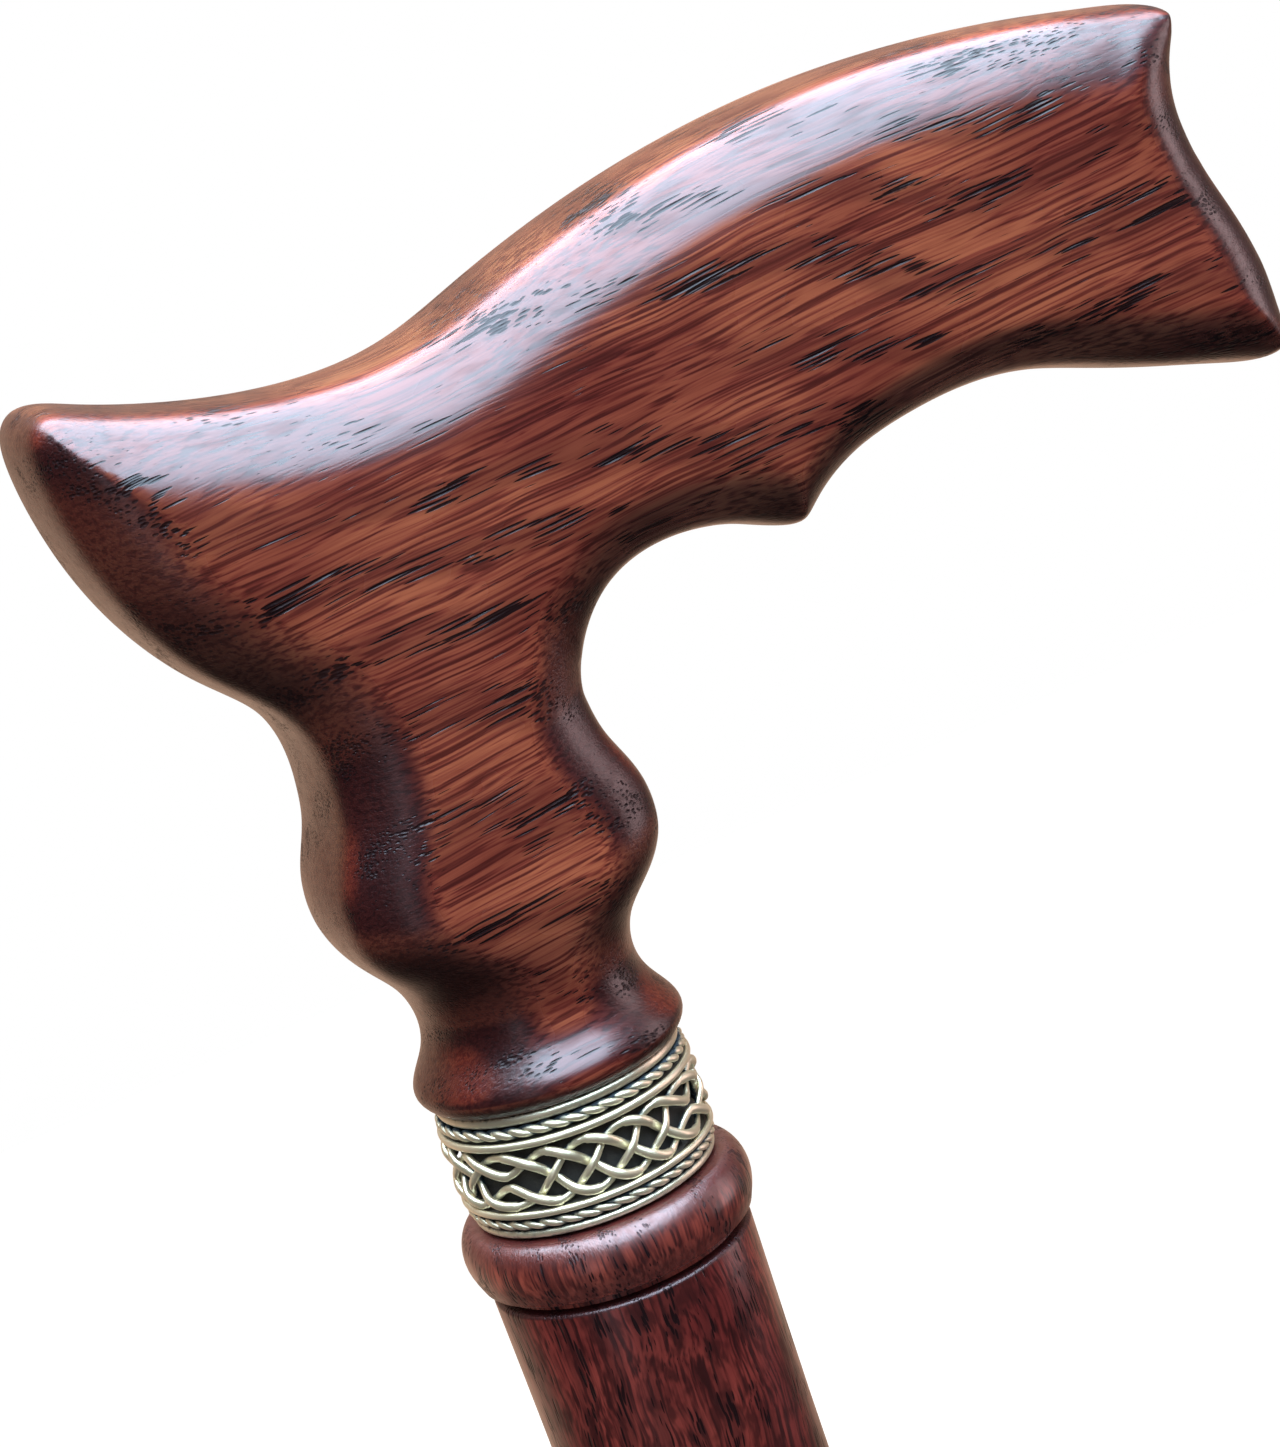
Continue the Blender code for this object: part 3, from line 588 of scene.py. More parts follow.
def strand_places(keys, whole):
    """Points along a closed strand, each as angle, height and lift."""
    places = []
    for i in range(len(keys)):
        around = []
        for k in (-1, 0, 1, 2):
            lap, place = divmod(i + k, len(keys))
            angle, height, lift = keys[place]
            around.append((angle + lap * whole, height, lift))
        for step in range(POINTS_A_KEY):
            t = step / POINTS_A_KEY
            place = []
            for a, b, c, d in zip(*around):
                bend = a - 2.5 * b + 2.0 * c - 0.5 * d
                swing = 1.5 * (b - c) + 0.5 * (d - a)
                place.append(b + 0.5 * t * (c - a) + t * t * bend + t**3 * swing)
            places.append(place)
    return places


oval = [(KNOT_SECTION[0] * x, KNOT_SECTION[1] * y, z) for x, y, z in circle_places(OVAL_POINTS, 1.0)]
for number, (keys, whole) in enumerate(strands, 1):
    rolled = strand_places(keys, whole)
    places, widths = [], []
    for i, (angle, height, lift) in enumerate(rolled):
        turn = KNOT_START - math.pi / 2 + angle
        radius = KNOT_RADIUS + lift
        places.append((radius * math.cos(turn), radius * math.sin(turn), KNOT_MIDDLE + height + RIM))
        rises = rolled[(i + 1) % len(rolled)][1] > rolled[i - 1][1]
        widths.append(KNOT_NARROW if rises else KNOT_BROAD)
    strand = shape_wire(f"interlace_wire_{number}", places, oval, widths=widths)
    join_to_cane(strand, f"interlace_strand_{number}", "silver")

# %% [markdown]
# A carver saws the handle's plank to an outline, crowns its edge, planes a bevel down both sides
# that runs out into the flat, and turns the neck round. So its surface follows one section, which
# begins at the outline and goes inwards by a depth. Smooth curves run through the CAD model's
# keys, because a long highlight shows every kink.

# %% The handle's lines
PLANK_HALF = 14.0
# Parts of the depth and of the half thickness, from the middle of the edge to the flat.
EDGE_SECTION = [(0.0, 0.0), (0.03, 0.37), (0.09, 0.60), (0.18, 0.70), (0.45, 0.86), (0.74, 0.96), (1.0, 1.0)]
# Height, half width, depth, half thickness, and how far from turned, 0, to sawn, 1.
NECK_ROWS = [
    (21.5, 13.2, 13.2, 13.2, 0), (22.3, 14, 14, 14, 0), (23.4, 14.4, 14.4, 14.4, 0),
    (24.8, 13.9, 13.9, 13.9, 0), (26.8, 12.6, 12.6, 12.7, 0), (29.6, 11.6, 11.6, 12, 0),
    (32.4, 11.7, 11.7, 12.2, 0.1), (35.2, 12.8, 12, 12.8, 0.3), (38, 14.9, 11, 13.5, 0.6),
    (41.2, 16.8, 10.2, 14, 0.85), (44.8, 17.4, 10, 14, 1), (48.6, 16.8, 10, 14, 1),
    (53, 15, 10, 14, 1), (57.5, 14.2, 10, 14, 1),
]
# Along, height and depth, from the right of the neck round to its left.
HEAD_OUTLINE = [
    (14.2, 57.5, 10), (16.2, 62.6, 9.6), (20.2, 66.5, 8.6), (26.5, 68.2, 7.6), (34, 67.1, 7),
    (38.6, 65.2, 6.5), (41, 64.8, 6.5), (43.2, 66.4, 6.5), (48, 69.2, 6.5), (56, 71, 6.5),
    (64, 71.3, 6.5), (72, 69.8, 6.5), (82, 66.3, 7), (92, 63.1, 7.5), (97.4, 61.9, 8),
    (98.9, 63.2, 8), (99.2, 67, 8), (98.9, 72, 8), (97.3, 78.5, 8), (95.2, 84.5, 8),
    (94.2, 90, 8), (94.9, 95, 8), (96.6, 99, 8), (96, 101, 9), (91, 102.6, 10),
    (80, 104.6, 10), (68, 105.9, 10), (56, 106.1, 10), (44, 105, 10), (32, 102.7, 10),
    (20, 99.2, 10), (12, 96.5, 10), (5, 95.3, 10), (-4, 95.7, 10), (-14, 97.8, 10),
    (-22.5, 100.7, 10), (-27, 102, 10), (-29.2, 100.5, 10), (-30, 97, 10),
    (-29.1, 88.8, 10), (-26, 79.5, 10), (-21, 71.9, 10), (-16.4, 66.9, 10), (-14.4, 62.4, 10),
    (-14.2, 57.5, 10),
]


def smooth_through(knots, keys, places):
    """Values at places on the curve through keys whose slope and bend are even throughout."""
    steps = np.diff(knots)[:, None]
    rises = np.diff(keys, axis=0) / steps
    system, wanted = np.eye(len(knots)), np.zeros_like(keys)
    for i in range(1, len(knots) - 1):
        system[i, i - 1 : i + 2] = steps[i - 1, 0], 2 * (steps[i - 1, 0] + steps[i, 0]), steps[i, 0]
        wanted[i] = 6 * (rises[i] - rises[i - 1])
    bends = np.linalg.solve(system, wanted)
    span = np.clip(np.searchsorted(knots, places, side="right") - 1, 0, len(steps) - 1)
    width, past = steps[span], (places - knots[span])[:, None]
    left = width - past
    curved = (bends[span] * left**3 + bends[span + 1] * past**3) / (6 * width)
    first = (keys[span] / width - bends[span] * width / 6) * left
    return curved + first + (keys[span + 1] / width - bends[span + 1] * width / 6) * past


def lengths_along(points, power=1.0):
    """How far along a line each of its points is; a power under 1 suits uneven points."""
    return np.concatenate([[0.0], np.cumsum(np.linalg.norm(np.diff(points, axis=0), axis=1) ** power)])


# %% [markdown]
# The section is sampled in even steps. Its curve is found a little past both ends, mirrored at the
# middle of the edge and straight on the flat, so that it arrives level.

# %% Sample the section
SECTION_STEPS, USUAL_DEPTH, BEVEL_STARTS = 26, 10.0, 0.12
before = [(part, -share) for part, share in EDGE_SECTION[1:3]][::-1]
keys = np.array(before + EDGE_SECTION + [(1.3, 1.0), (1.6, 1.0)])
knots = lengths_along(keys * (USUAL_DEPTH, PLANK_HALF), power=0.7)
section = smooth_through(knots, keys, np.linspace(knots[2], knots[-3], SECTION_STEPS))
section[:, 0] = np.maximum.accumulate(section[:, 0].clip(0.0, 1.0))
section[0], section[-1] = (0.0, 0.0), (1.0, 1.0)
bevel_height = PLANK_HALF * np.interp(BEVEL_STARTS, *section.T)
print(f"the bevel starts {bevel_height:.1f} mm from the middle")

# %% [markdown]
# The neck is a stack of rows. Each has the section to the left and the right, and blends it with
# a circle's where the neck is turned.

# %% Neck
NECK_STEPS = 96


def neck_row(row):
    """Points across one row of the neck, left to right, as (x, y, z) on the near side."""
    height, half_width, depth, half, sawn = row
    round_share = np.sqrt(1.0 - (1.0 - section[:, 0]) ** 2)
    y = -half * (sawn * section[:, 1] + (1.0 - sawn) * round_share)
    x = section[:, 0] * depth - half_width
    return [(a, b, height) for a, b in zip(x, y)] + [(-a, b, height) for a, b in zip(x[::-1], y[::-1])]


keys = np.array(NECK_ROWS)
heights = np.linspace(keys[0, 0], keys[-1, 0], NECK_STEPS)
neck = [neck_row(row) for row in smooth_through(keys[:, 0], keys, heights)]
print(f"neck: {len(neck)} rows of {len(neck[0])} points")

# %% [markdown]
# The head has spokes that go inwards from the outline. A spoke is as long as the bevel is deep,
# but ends sooner where it meets spokes from the other side: there two bevels make the ridge that
# runs in from the nose and the corners. The largest circle that touches the outline at a point
# and stays inside tells where that is.

# %% Head
OUTLINE_STEP, SEAM_LENGTH, FINE_POINTS, SHORT_OF_RIDGE, CLOSE = 0.45, 6.0, 4000, 0.96, 0.02

keys = np.array([(15.0, 53.0, 10.0)] + HEAD_OUTLINE + [(-15.0, 53.0, 10.0)])
knots = lengths_along(keys[:, :2], power=0.5)
fine = smooth_through(knots, keys, np.linspace(knots[1], knots[-2], FINE_POINTS))
along = lengths_along(fine[:, :2])
count = int(along[-1] / OUTLINE_STEP)
samples = np.stack([np.interp(np.linspace(0, along[-1], count), along, column) for column in fine.T], axis=1)
outline, depths = samples[:, :2], samples[:, 2]
ahead = np.gradient(outline, axis=0)
inward = np.stack([-ahead[:, 1], ahead[:, 0]], axis=1) / np.linalg.norm(ahead, axis=1)[:, None]
for i in range(count):
    from_seam = min(i, count - 1 - i) * OUTLINE_STEP / SEAM_LENGTH
    if from_seam < 1.0:
        level_way = np.array((-1.0 if i < count / 2 else 1.0, 0.0))
        mixed = from_seam * inward[i] + (1.0 - from_seam) * level_way
        inward[i] = mixed / np.linalg.norm(mixed)


def room_inside(i):
    """Radius of the largest circle inside the outline that touches it at i, and where else it does."""
    across = outline - outline[i]
    depth = across @ inward[i]
    ahead_of_it = np.flatnonzero(depth > 1e-6)
    radii = (across[ahead_of_it] ** 2).sum(axis=1) / (2.0 * depth[ahead_of_it])
    return radii.min(), ahead_of_it[radii.argmin()]


room, partner = (np.array(column) for column in zip(*(room_inside(i) for i in range(count))))
places, heights, edges = [], [], []


def add_line(chosen, reach, shares):
    """Points that lie inwards of the chosen ones by a reach, joined where they are neighbours."""
    previous = None
    for i in np.flatnonzero(chosen):
        places.append(tuple(outline[i] + reach[i] * inward[i]))
        heights.append(-shares[i] * PLANK_HALF)
        if previous == i - 1:
            edges.append((len(places) - 2, len(places) - 1))
        previous = i


for part, share in section:
    add_line(part * depths <= SHORT_OF_RIDGE * room, part * depths, np.full(count, share))
on_ridge = (room < depths) & (partner > np.arange(count))
add_line(on_ridge, room, np.interp(room / depths, *section.T))
first = len(places)
places += [(x, z) for x, y, z in neck[-1]]
heights += [y for x, y, z in neck[-1]]
edges += [(i, i + 1) for i in range(first, len(places) - 1)]
flat = delaunay_2d_cdt(places, edges, [], 1, CLOSE)
places, triangles, sources = flat[0], flat[2], flat[3]
cut_short = int((room < depths).sum())
print(f"head: {count} spokes, {cut_short} of them end on a ridge, {len(triangles)} triangles")

# %% [markdown]
# A mirror joins both halves. The ridges are eased a little, as sandpaper leaves them, and the
# palm end more, as hands wear it. A drill takes out the hole for the insert.

# %% Join, ease and drill
EASE_ROUNDS, WEAR_ROUNDS, WEAR_STARTS, WEAR_REACH = 5, 30, 84.0, 8.0
INSERT_HOLE, HOLE_TOP, HOLE_MOUTH, DRILL_POINT = 6.3, 40.3, 16.5, 1.5
shell = bmesh.new()
rows = [[shell.verts.new(Vector(point) * MM) for point in row] for row in neck]
for low_row, high_row in zip(rows, rows[1:]):
    for a, b, c, d in zip(low_row, low_row[1:], high_row[1:], high_row):
        shell.faces.new((a, b, c, d))
shell.faces.new(list(reversed(rows[0])))
verts = [shell.verts.new(Vector((p[0], heights[s[0]], p[1])) * MM) for p, s in zip(places, sources)]
for triangle in triangles:
    shell.faces.new([verts[i] for i in triangle])
bmesh.ops.remove_doubles(shell, verts=shell.verts, dist=CLOSE * MM)
bmesh.ops.translate(shell, verts=shell.verts, vec=(0.0, 0.0, RIM * MM))
mesh = bpy.data.meshes.new("carved_handle")
shell.to_mesh(mesh)
shell.free()
handle = add_object("carved_handle", mesh)
drill_rows = [(NEAR_AXIS, HOLE_TOP + DRILL_POINT), (INSERT_HOLE, HOLE_TOP)]
drill_rows += [(INSERT_HOLE, HOLE_MOUTH), (NEAR_AXIS, HOLE_MOUTH)]
drill = turn_profile("drill", drill_rows, RIM, 64)
finish_piece(drill)
pick(handle)
both = handle.modifiers.new("other_side", "MIRROR")
both.use_axis = (False, True, False)
both.merge_threshold = 0.01 * MM
palm_end = handle.vertex_groups.new(name="palm_end")
for vertex in handle.data.vertices:
    weight = min(max(vertex.co.x / MM - WEAR_STARTS, 0.0) / WEAR_REACH, 1.0)
    palm_end.add([vertex.index], weight, "REPLACE")
for name, rounds, group in (("ease", EASE_ROUNDS, ""), ("wear", WEAR_ROUNDS, palm_end.name)):
    smooth = handle.modifiers.new(name, "SMOOTH")
    smooth.factor, smooth.iterations, smooth.vertex_group = 0.5, rounds, group
hole = handle.modifiers.new("hole", "BOOLEAN")
hole.object = drill
for modifier in ("other_side", "ease", "wear", "hole"):
    bpy.ops.object.modifier_apply(modifier=modifier)
bpy.data.objects.remove(drill, do_unlink=True)
bpy.ops.object.shade_smooth_by_angle(angle=math.radians(50.0))
print(f"handle: {len(handle.data.polygons)} faces")
join_to_cane(handle, "handle", "handle_wood")

# %% [markdown]
# The rubber tip is a moulded bell: a flared foot with a groove that grips, a waist, and two ribs
# that let a hand pull it off. Its edges are soft, so a bevel modifier rounds a coarse profile.

# %% Mould the rubber tip
SOFT_EDGE, SHARP = 0.35, math.radians(12.0)
tip_rows = [(NEAR_AXIS, 12.0), (9.6, 12.0), (9.73, 38.0), (12.0, 38.0), (12.6, 37.3)]
for rib in (32.0, 26.0):
    tip_rows += [(12.6, rib + 1.6), (13.8, rib + 0.8), (13.8, rib - 0.8), (12.6, rib - 1.6)]
tip_rows += [(13.4, 18.0), (14.6, 11.0), (17.0, 6.5), (17.0, 1.5), (15.5, 0.0), (13.0, 0.0)]
tip_rows += [(12.2, 1.5), (10.6, 1.5), (9.8, 0.0), (NEAR_AXIS, 0.0)]
tip = turn_profile("moulded_tip", tip_rows, FOOT, 96)
pick(tip)
soften = tip.modifiers.new("soften", "BEVEL")
soften.width = SOFT_EDGE * MM
soften.segments = 3
soften.limit_method = "ANGLE"
soften.angle_limit = SHARP
bpy.ops.object.modifier_apply(modifier="soften")
finish_piece(tip)
join_to_cane(tip, "rubber_tip", "rubber", "tip")

# %% [markdown]
# Bands of large pores follow the wood's year rings, and a stain has sunk into them. Everything is
# worked out in three dimensions, in millimetres with the grain along X, so that a pore shows as a
# long dash on the side and as a dot on the end.

# %% Helpers for node groups


def new_group(name, numbers, outputs):
    """A node group that turns a place and numbers into masks, and its two ends."""
    group = bpy.data.node_groups.new(name, "ShaderNodeTree")
    group.interface.new_socket(name="Place", in_out="INPUT", socket_type="NodeSocketVector")
    for socket, value in numbers.items():
        made = group.interface.new_socket(name=socket, in_out="INPUT", socket_type="NodeSocketFloat")
        made.default_value = value
    for socket in outputs:
        group.interface.new_socket(name=socket, in_out="OUTPUT", socket_type="NodeSocketFloat")
    return group, group.nodes.new("NodeGroupInput"), group.nodes.new("NodeGroupOutput")


def stretched(vector, scale):
    """A vector multiplied by another."""
    return put(vector.id_data, "VectorMath", {0: vector, 1: scale}, operation="MULTIPLY").outputs[0]


# %% [markdown]
# This group puts out masks. The grain is a noise that is stretched along X into fine lines. Year
# rings are wandering sheets that cut the surface at a slant, and each begins with a band of early
# wood. The pores are stretched cells, thin pointed dashes that keep clear of each other and reach
# farther in early wood. Mottling, flecks and sandpaper's marks across the grain complete it.

# %% Wood figure group
# Turns a millimetre along X, Y and Z, then detail and roughness.
NOISES = {
    "drift": ((0.012, 0.03, 0.03), 2.0, 0.5),
    "wave": ((0.05, 0.16, 0.16), 2.0, 0.5),
    "broad": ((0.012, 0.35, 0.35), 1.0, 0.5),
    "narrow": ((0.026, 2.7, 2.7), 1.0, 0.6),
    "fibre": ((0.08, 4.5, 4.5), 1.0, 0.5),
    "wander": ((0.02, 0.03, 0.035), 1.0, 0.5),
    "patches": ((0.03, 0.09, 0.09), 2.0, 0.5),
    "size": ((0.1, 0.5, 0.5), 0.0, 0.5),
    "mottle": ((0.04, 0.09, 0.09), 3.0, 0.5),
    "flecks": ((0.13, 0.75, 0.75), 2.0, 0.6),
    "sanding": ((0.25, 4.5, 4.5), 1.0, 0.5),
}
# Where each mask starts and where it is full.
STEPS = {
    "grain": (0.46, 0.72),
    "fibre": (0.3, 0.7),
    "early": (0.16, 0.36),
    "patches": (0.34, 0.48),
    "pores": (0.0, 0.07),
    "flecks": (0.46, 0.66),
}
DRIFT_REACH, WAVE_REACH = (0.0, 7.0, 7.0), (0.0, 1.3, 1.3)
BROAD_SHARE, EVEN_SHARE, EVEN_SCALE = 0.16, 0.09, 0.36
PORE_SCALE, EARLY_REACH, LATE_REACH = (0.095, 2.9, 2.9), 0.58, 0.24
SANDING_TURN = math.radians(55.0)

figure, figure_in, figure_out = new_group(
    "wood_figure",
    {"Spacing": 9.0, "Slope": 0.3, "Tilt": 0.35, "Wander": 30.0},
    ("Grain", "Fibre", "Pores", "Pore Depth", "Early Wood", "Mottle", "Flecks", "Sanding"),
)


def noise(vector, name, output="Fac"):
    """One of the noises of the wood."""
    scale, detail, roughness = NOISES[name]
    values = {"Vector": stretched(vector, scale), "Scale": 1.0, "Detail": detail}
    return put(figure, "TexNoise", {**values, "Roughness": roughness}).outputs[output]


def shaken(vector, name, reach):
    """A vector moved by a noise; the reach is in millimetres for each direction."""
    values = {0: noise(vector, name, "Color"), 1: (0.5, 0.5, 0.5)}
    centred = put(figure, "VectorMath", values, operation="SUBTRACT").outputs[0]
    values = {0: centred, 1: reach, 2: vector}
    return put(figure, "VectorMath", values, operation="MULTIPLY_ADD").outputs[0]


def stepped(value, name):
    """A mask from a value of the wood."""
    return smooth_step(value, *STEPS[name])


given = figure_in.outputs
place = given["Place"]
waved = shaken(shaken(place, "drift", DRIFT_REACH), "wave", WAVE_REACH)
even = put(figure, "TexWave", {"Vector": waved, "Scale": EVEN_SCALE}, bands_direction="Z")
lines = times(noise(waved, "broad"), BROAD_SHARE, noise(waved, "narrow"))
lines = times(even.outputs["Fac"], EVEN_SHARE, lines)

parts = put(figure, "SeparateXYZ", {0: place}).outputs
wander = maths("SUBTRACT", noise(place, "wander"), 0.5)
depth = times(wander, given["Wander"], parts["Z"])
depth = times(parts["Y"], given["Tilt"], depth)
depth = times(parts["X"], given["Slope"], depth)
rings = maths("FRACT", maths("DIVIDE", depth, given["Spacing"]))
from_middle = maths("ABSOLUTE", maths("SUBTRACT", rings, 0.5))
early = times(stepped(from_middle, "early"), stepped(noise(place, "patches"), "patches"))

vessels = put(figure, "TexVoronoi", {"Vector": stretched(waved, PORE_SCALE), "Scale": 1.0})
reach = times(times(early, EARLY_REACH, LATE_REACH), noise(place, "size"))
inside = maths("SUBTRACT", reach, vessels.outputs["Distance"])

across = put(figure, "Mapping", {"Vector": place, "Rotation": (0.0, SANDING_TURN, 0.0)}).outputs[0]
masks = {
    "Grain": stepped(lines, "grain"),
    "Fibre": stepped(noise(waved, "fibre"), "fibre"),
    "Pores": stepped(inside, "pores"),
    "Pore Depth": maths("MAXIMUM", inside, 0.0),
    "Early Wood": early,
    "Mottle": noise(place, "mottle"),
    "Flecks": stepped(noise(waved, "flecks"), "flecks"),
    "Sanding": noise(across, "sanding"),
}
feed(figure_out, masks)
print("wood_figure has", len(figure.nodes), "nodes")

# %% [markdown]
# These helpers turn a pattern so that the grain runs along X, mix colours and give relief.

# %% Helpers for finishes


def place_in_mm(tree, turn=(0.0, 0.0, 0.0), shift=(0.0, 0.0, 0.0)):
    """Object coordinates in millimetres, turned and shifted."""
    values = {"Vector": put(tree, "TexCoord").outputs["Object"], "Location": shift}
    values.update({"Rotation": turn, "Scale": (1 / MM,) * 3})
    return put(tree, "Mapping", values).outputs["Vector"]


def blend(tree, amount, first, second, mode="MIX"):
    """Mix two colours; each may be a socket or a colour."""
    colours = [tone if isinstance(tone, bpy.types.NodeSocket) else (*tone, 1.0) for tone in (first, second)]
    values = {0: amount, 6: colours[0], 7: colours[1]}
    return put(tree, "Mix", values, data_type="RGBA", blend_type=mode).outputs[2]


def colour_steps(value, stops):
    """A colour ramp with stops of (place, colour)."""
    ramp = put(value.id_data, "ValToRGB", {0: value})
    elements = ramp.color_ramp.elements
    while len(elements) < len(stops):
        elements.new(0.5)
    for element, (position, colour) in zip(elements, stops):
        element.position = position
        element.color = (*colour, 1.0)
    return ramp.outputs["Color"]


def bumped(height, depth):
    """A normal that is moved by a height; depth is how deep 1 is, in millimetres."""
    values = {"Height": height, "Distance": depth * MM, "Strength": 1.0}
    return put(height.id_data, "Bump", values).outputs["Normal"]


def set_finish(piece, material):
    """Give a piece one material."""
    piece.data.materials.clear()
    piece.data.materials.append(material)


# %% [markdown]
# Stain makes the colour. The grain lines run between a dark and a light tone, and early wood and
# flecks are darker. End grain drinks more stain, so the nose, the palm end and the neck's sides
# are the darkest.

# %% Stain
GRAIN_SHARE, FIBRE_SHARE = 0.7, 0.3
TONE_STOPS, MOTTLE_STEP = (0.1, 0.45, 0.9), (0.32, 0.66)
MOTTLE_TINTS = [(0.0, (0.62, 0.45, 0.52)), (1.0, (1.1, 1.1, 1.05))]
EARLY_SHADE, END_SHADE = 0.45, 0.8


def stained(tree, figured, tones, flecked, end_grain):
    """The colour of the wood before its pores."""
    dark, middle, light, end_tone = tones[:4]
    grain = times(figured["Fibre"], FIBRE_SHARE, times(figured["Grain"], GRAIN_SHARE))
    colour = colour_steps(grain, list(zip(TONE_STOPS, (dark, middle, light))))
    mottled = colour_steps(smooth_step(figured["Mottle"], *MOTTLE_STEP), MOTTLE_TINTS)
    colour = blend(tree, 1.0, colour, mottled, "MULTIPLY")
    colour = blend(tree, times(figured["Early Wood"], EARLY_SHADE), colour, dark)
    colour = blend(tree, times(figured["Flecks"], flecked), colour, dark)
    return blend(tree, times(end_grain, END_SHADE), colour, end_tone)


# %% [markdown]
# On the handle, light and shade are painted by the way the surface faces: painted shade makes the
# bevels and undersides deep and cool, and painted light reddens the arris under the crown and pales the
# crown.

# %% Painted light and shade for the ways that the handle faces
# Painted shade for the bevels and undersides, painted light for the arris and the crown.
BEVEL_PAINTED_SHADE, UNDERSIDE_PAINTED_SHADE = (0.38, 0.24, 0.42), (0.26, 0.34, 0.42)
ARRIS_PAINTED_LIGHT, CROWN_PAINTED_LIGHT = (1.4, 0.9, 0.8), (0.95, 1.2, 1.1)
BEVEL_SLOPES, ARRIS_SLOPES, CROWN_SLOPES = (0.004, 0.07), (0.28, 0.45), (0.5, 0.85)
FACES_DOWN, FACES_WELL_DOWN, FACES_UP = (0.0, 0.12), (0.05, 0.6), (-0.1, -0.4)


def painted_light_and_shade(tree, normal):
    """Painted shade on the bevels and undersides, and painted light on the arris and the crown."""
    facing = put(tree, "SeparateXYZ", {0: normal}).outputs
    slope = times(maths("ABSOLUTE", facing["Y"]), -1.0, 1.0)
    downwards = times(facing["Z"], -1.0)
    level_or_up = times(smooth_step(downwards, *FACES_DOWN), -1.0, 1.0)
    bevelled = times(smooth_step(slope, *BEVEL_SLOPES), level_or_up)
    painted_tint = blend(tree, bevelled, WHITE[:3], BEVEL_PAINTED_SHADE)
    painted_tint = blend(tree, smooth_step(downwards, *FACES_WELL_DOWN), painted_tint, UNDERSIDE_PAINTED_SHADE)
    upper = smooth_step(downwards, *FACES_UP)
    painted_tint = blend(tree, times(smooth_step(slope, *ARRIS_SLOPES), upper), painted_tint, ARRIS_PAINTED_LIGHT)
    return blend(tree, smooth_step(slope, *CROWN_SLOPES), painted_tint, CROWN_PAINTED_LIGHT)


# %% [markdown]
# The pores are near black and are sunk into the surface, which gives each one its glint. Lacquer
# covers the wood but not its pores, and it is thinner on flecks. End grain is rougher.

# %% Wood finish
END_STEP = (0.12, 0.5)
PORES_ON_SIDE, PORES_ON_END, BARE_FLECKS = 0.95, 0.65, 0.4
ROUGH_SPREAD, END_ROUGHER = 0.08, 0.08
RELIEF, PORE_SINK, LINE_RISE, SANDING_RISE, END_RISE = 0.035, -3.6, 0.26, 0.015, 0.6


def wood_finish(name, turn, shift, tones, rings, lacquer, flecked, shorter=1.0, paints_light_and_shade=False):
    """A stained, open-pored wood under lacquer.

    Turn and shift lay the grain. Lacquer is its roughness, weight and specular level. Flecked is
    how dark the flecks are, and shorter how much shorter the figure is than the handle's. The last
    argument paints light and shade into the colour by the way the surface faces.
    """
    roughness, coat, specular = lacquer
    shine = {"Coat Roughness": roughness, "Specular IOR Level": specular}
    material, tree, shader = new_finish(name, shine)
    place = stretched(place_in_mm(tree, turn, shift), (shorter, 1.0, 1.0))
    figured = put(tree, "Group", {"Place": place, **rings}, node_tree=figure).outputs
    normal = put(tree, "TexCoord").outputs["Normal"]
    turned = put(tree, "Mapping", {"Vector": normal, "Rotation": turn}, vector_type="NORMAL")
    along = put(tree, "SeparateXYZ", {0: turned.outputs[0]}).outputs["X"]
    end_grain = smooth_step(maths("ABSOLUTE", along), *END_STEP)
    colour = stained(tree, figured, tones, flecked, end_grain)
    if paints_light_and_shade:
        # Painted light and shade by the way the surface faces.
        colour = blend(tree, 1.0, colour, painted_light_and_shade(tree, normal), "MULTIPLY")
    cover = times(end_grain, PORES_ON_END - PORES_ON_SIDE, PORES_ON_SIDE)
    colour = blend(tree, times(figured["Pores"], cover), colour, tones[-1])
    rough = times(figured["Mottle"], ROUGH_SPREAD, roughness - ROUGH_SPREAD / 2)
    bare = maths("MAXIMUM", figured["Pores"], times(figured["Flecks"], BARE_FLECKS))
    height = times(figured["Pore Depth"], PORE_SINK, times(figured["Grain"], LINE_RISE))
    height = times(figured["Sanding"], SANDING_RISE, height)
    height = times(times(figured["Fibre"], end_grain), END_RISE, height)
    looks = {
        "Base Color": colour,
        "Roughness": times(end_grain, END_ROUGHER, rough),
        "Coat Weight": times(times(bare, -1.0, 1.0), coat),
        "Normal": bumped(height, RELIEF),
    }
    feed(shader, looks)
    return material


# %% [markdown]
# The handle is red mahogany, and its long grain rises a little towards the palm end. The collar
# is a deeper red and the shaft burgundy. Both have upright grain and a shorter, flecked figure.

# %% Stain and lacquer the wood
GRAIN_RISE = math.radians(4.0)
ALONG, UPRIGHT = (0.0, GRAIN_RISE, 0.0), (0.0, math.pi / 2, 0.0)
# Dark, middle, light, end grain and pore.
MAHOGANY = (
    (0.115, 0.022, 0.016),
    (0.275, 0.060, 0.041),
    (0.455, 0.145, 0.078),
    (0.055, 0.010, 0.007),
    (0.005, 0.003, 0.005),
)
BEAD_RED = (
    (0.06, 0.009, 0.009),
    (0.17, 0.027, 0.021),
    (0.31, 0.062, 0.043),
    (0.11, 0.017, 0.013),
    (0.006, 0.004, 0.008),
)
BURGUNDY = (
    (0.046, 0.008, 0.009),
    (0.13, 0.019, 0.018),
    (0.25, 0.042, 0.036),
    (0.05, 0.010, 0.012),
    (0.012, 0.005, 0.007),
)
SAWN = {"Spacing": 9.5, "Slope": 0.36, "Tilt": 0.35, "Wander": 30.0}
TURNED = {"Spacing": 3.8, "Slope": 0.02, "Tilt": 0.3, "Wander": 9.0}
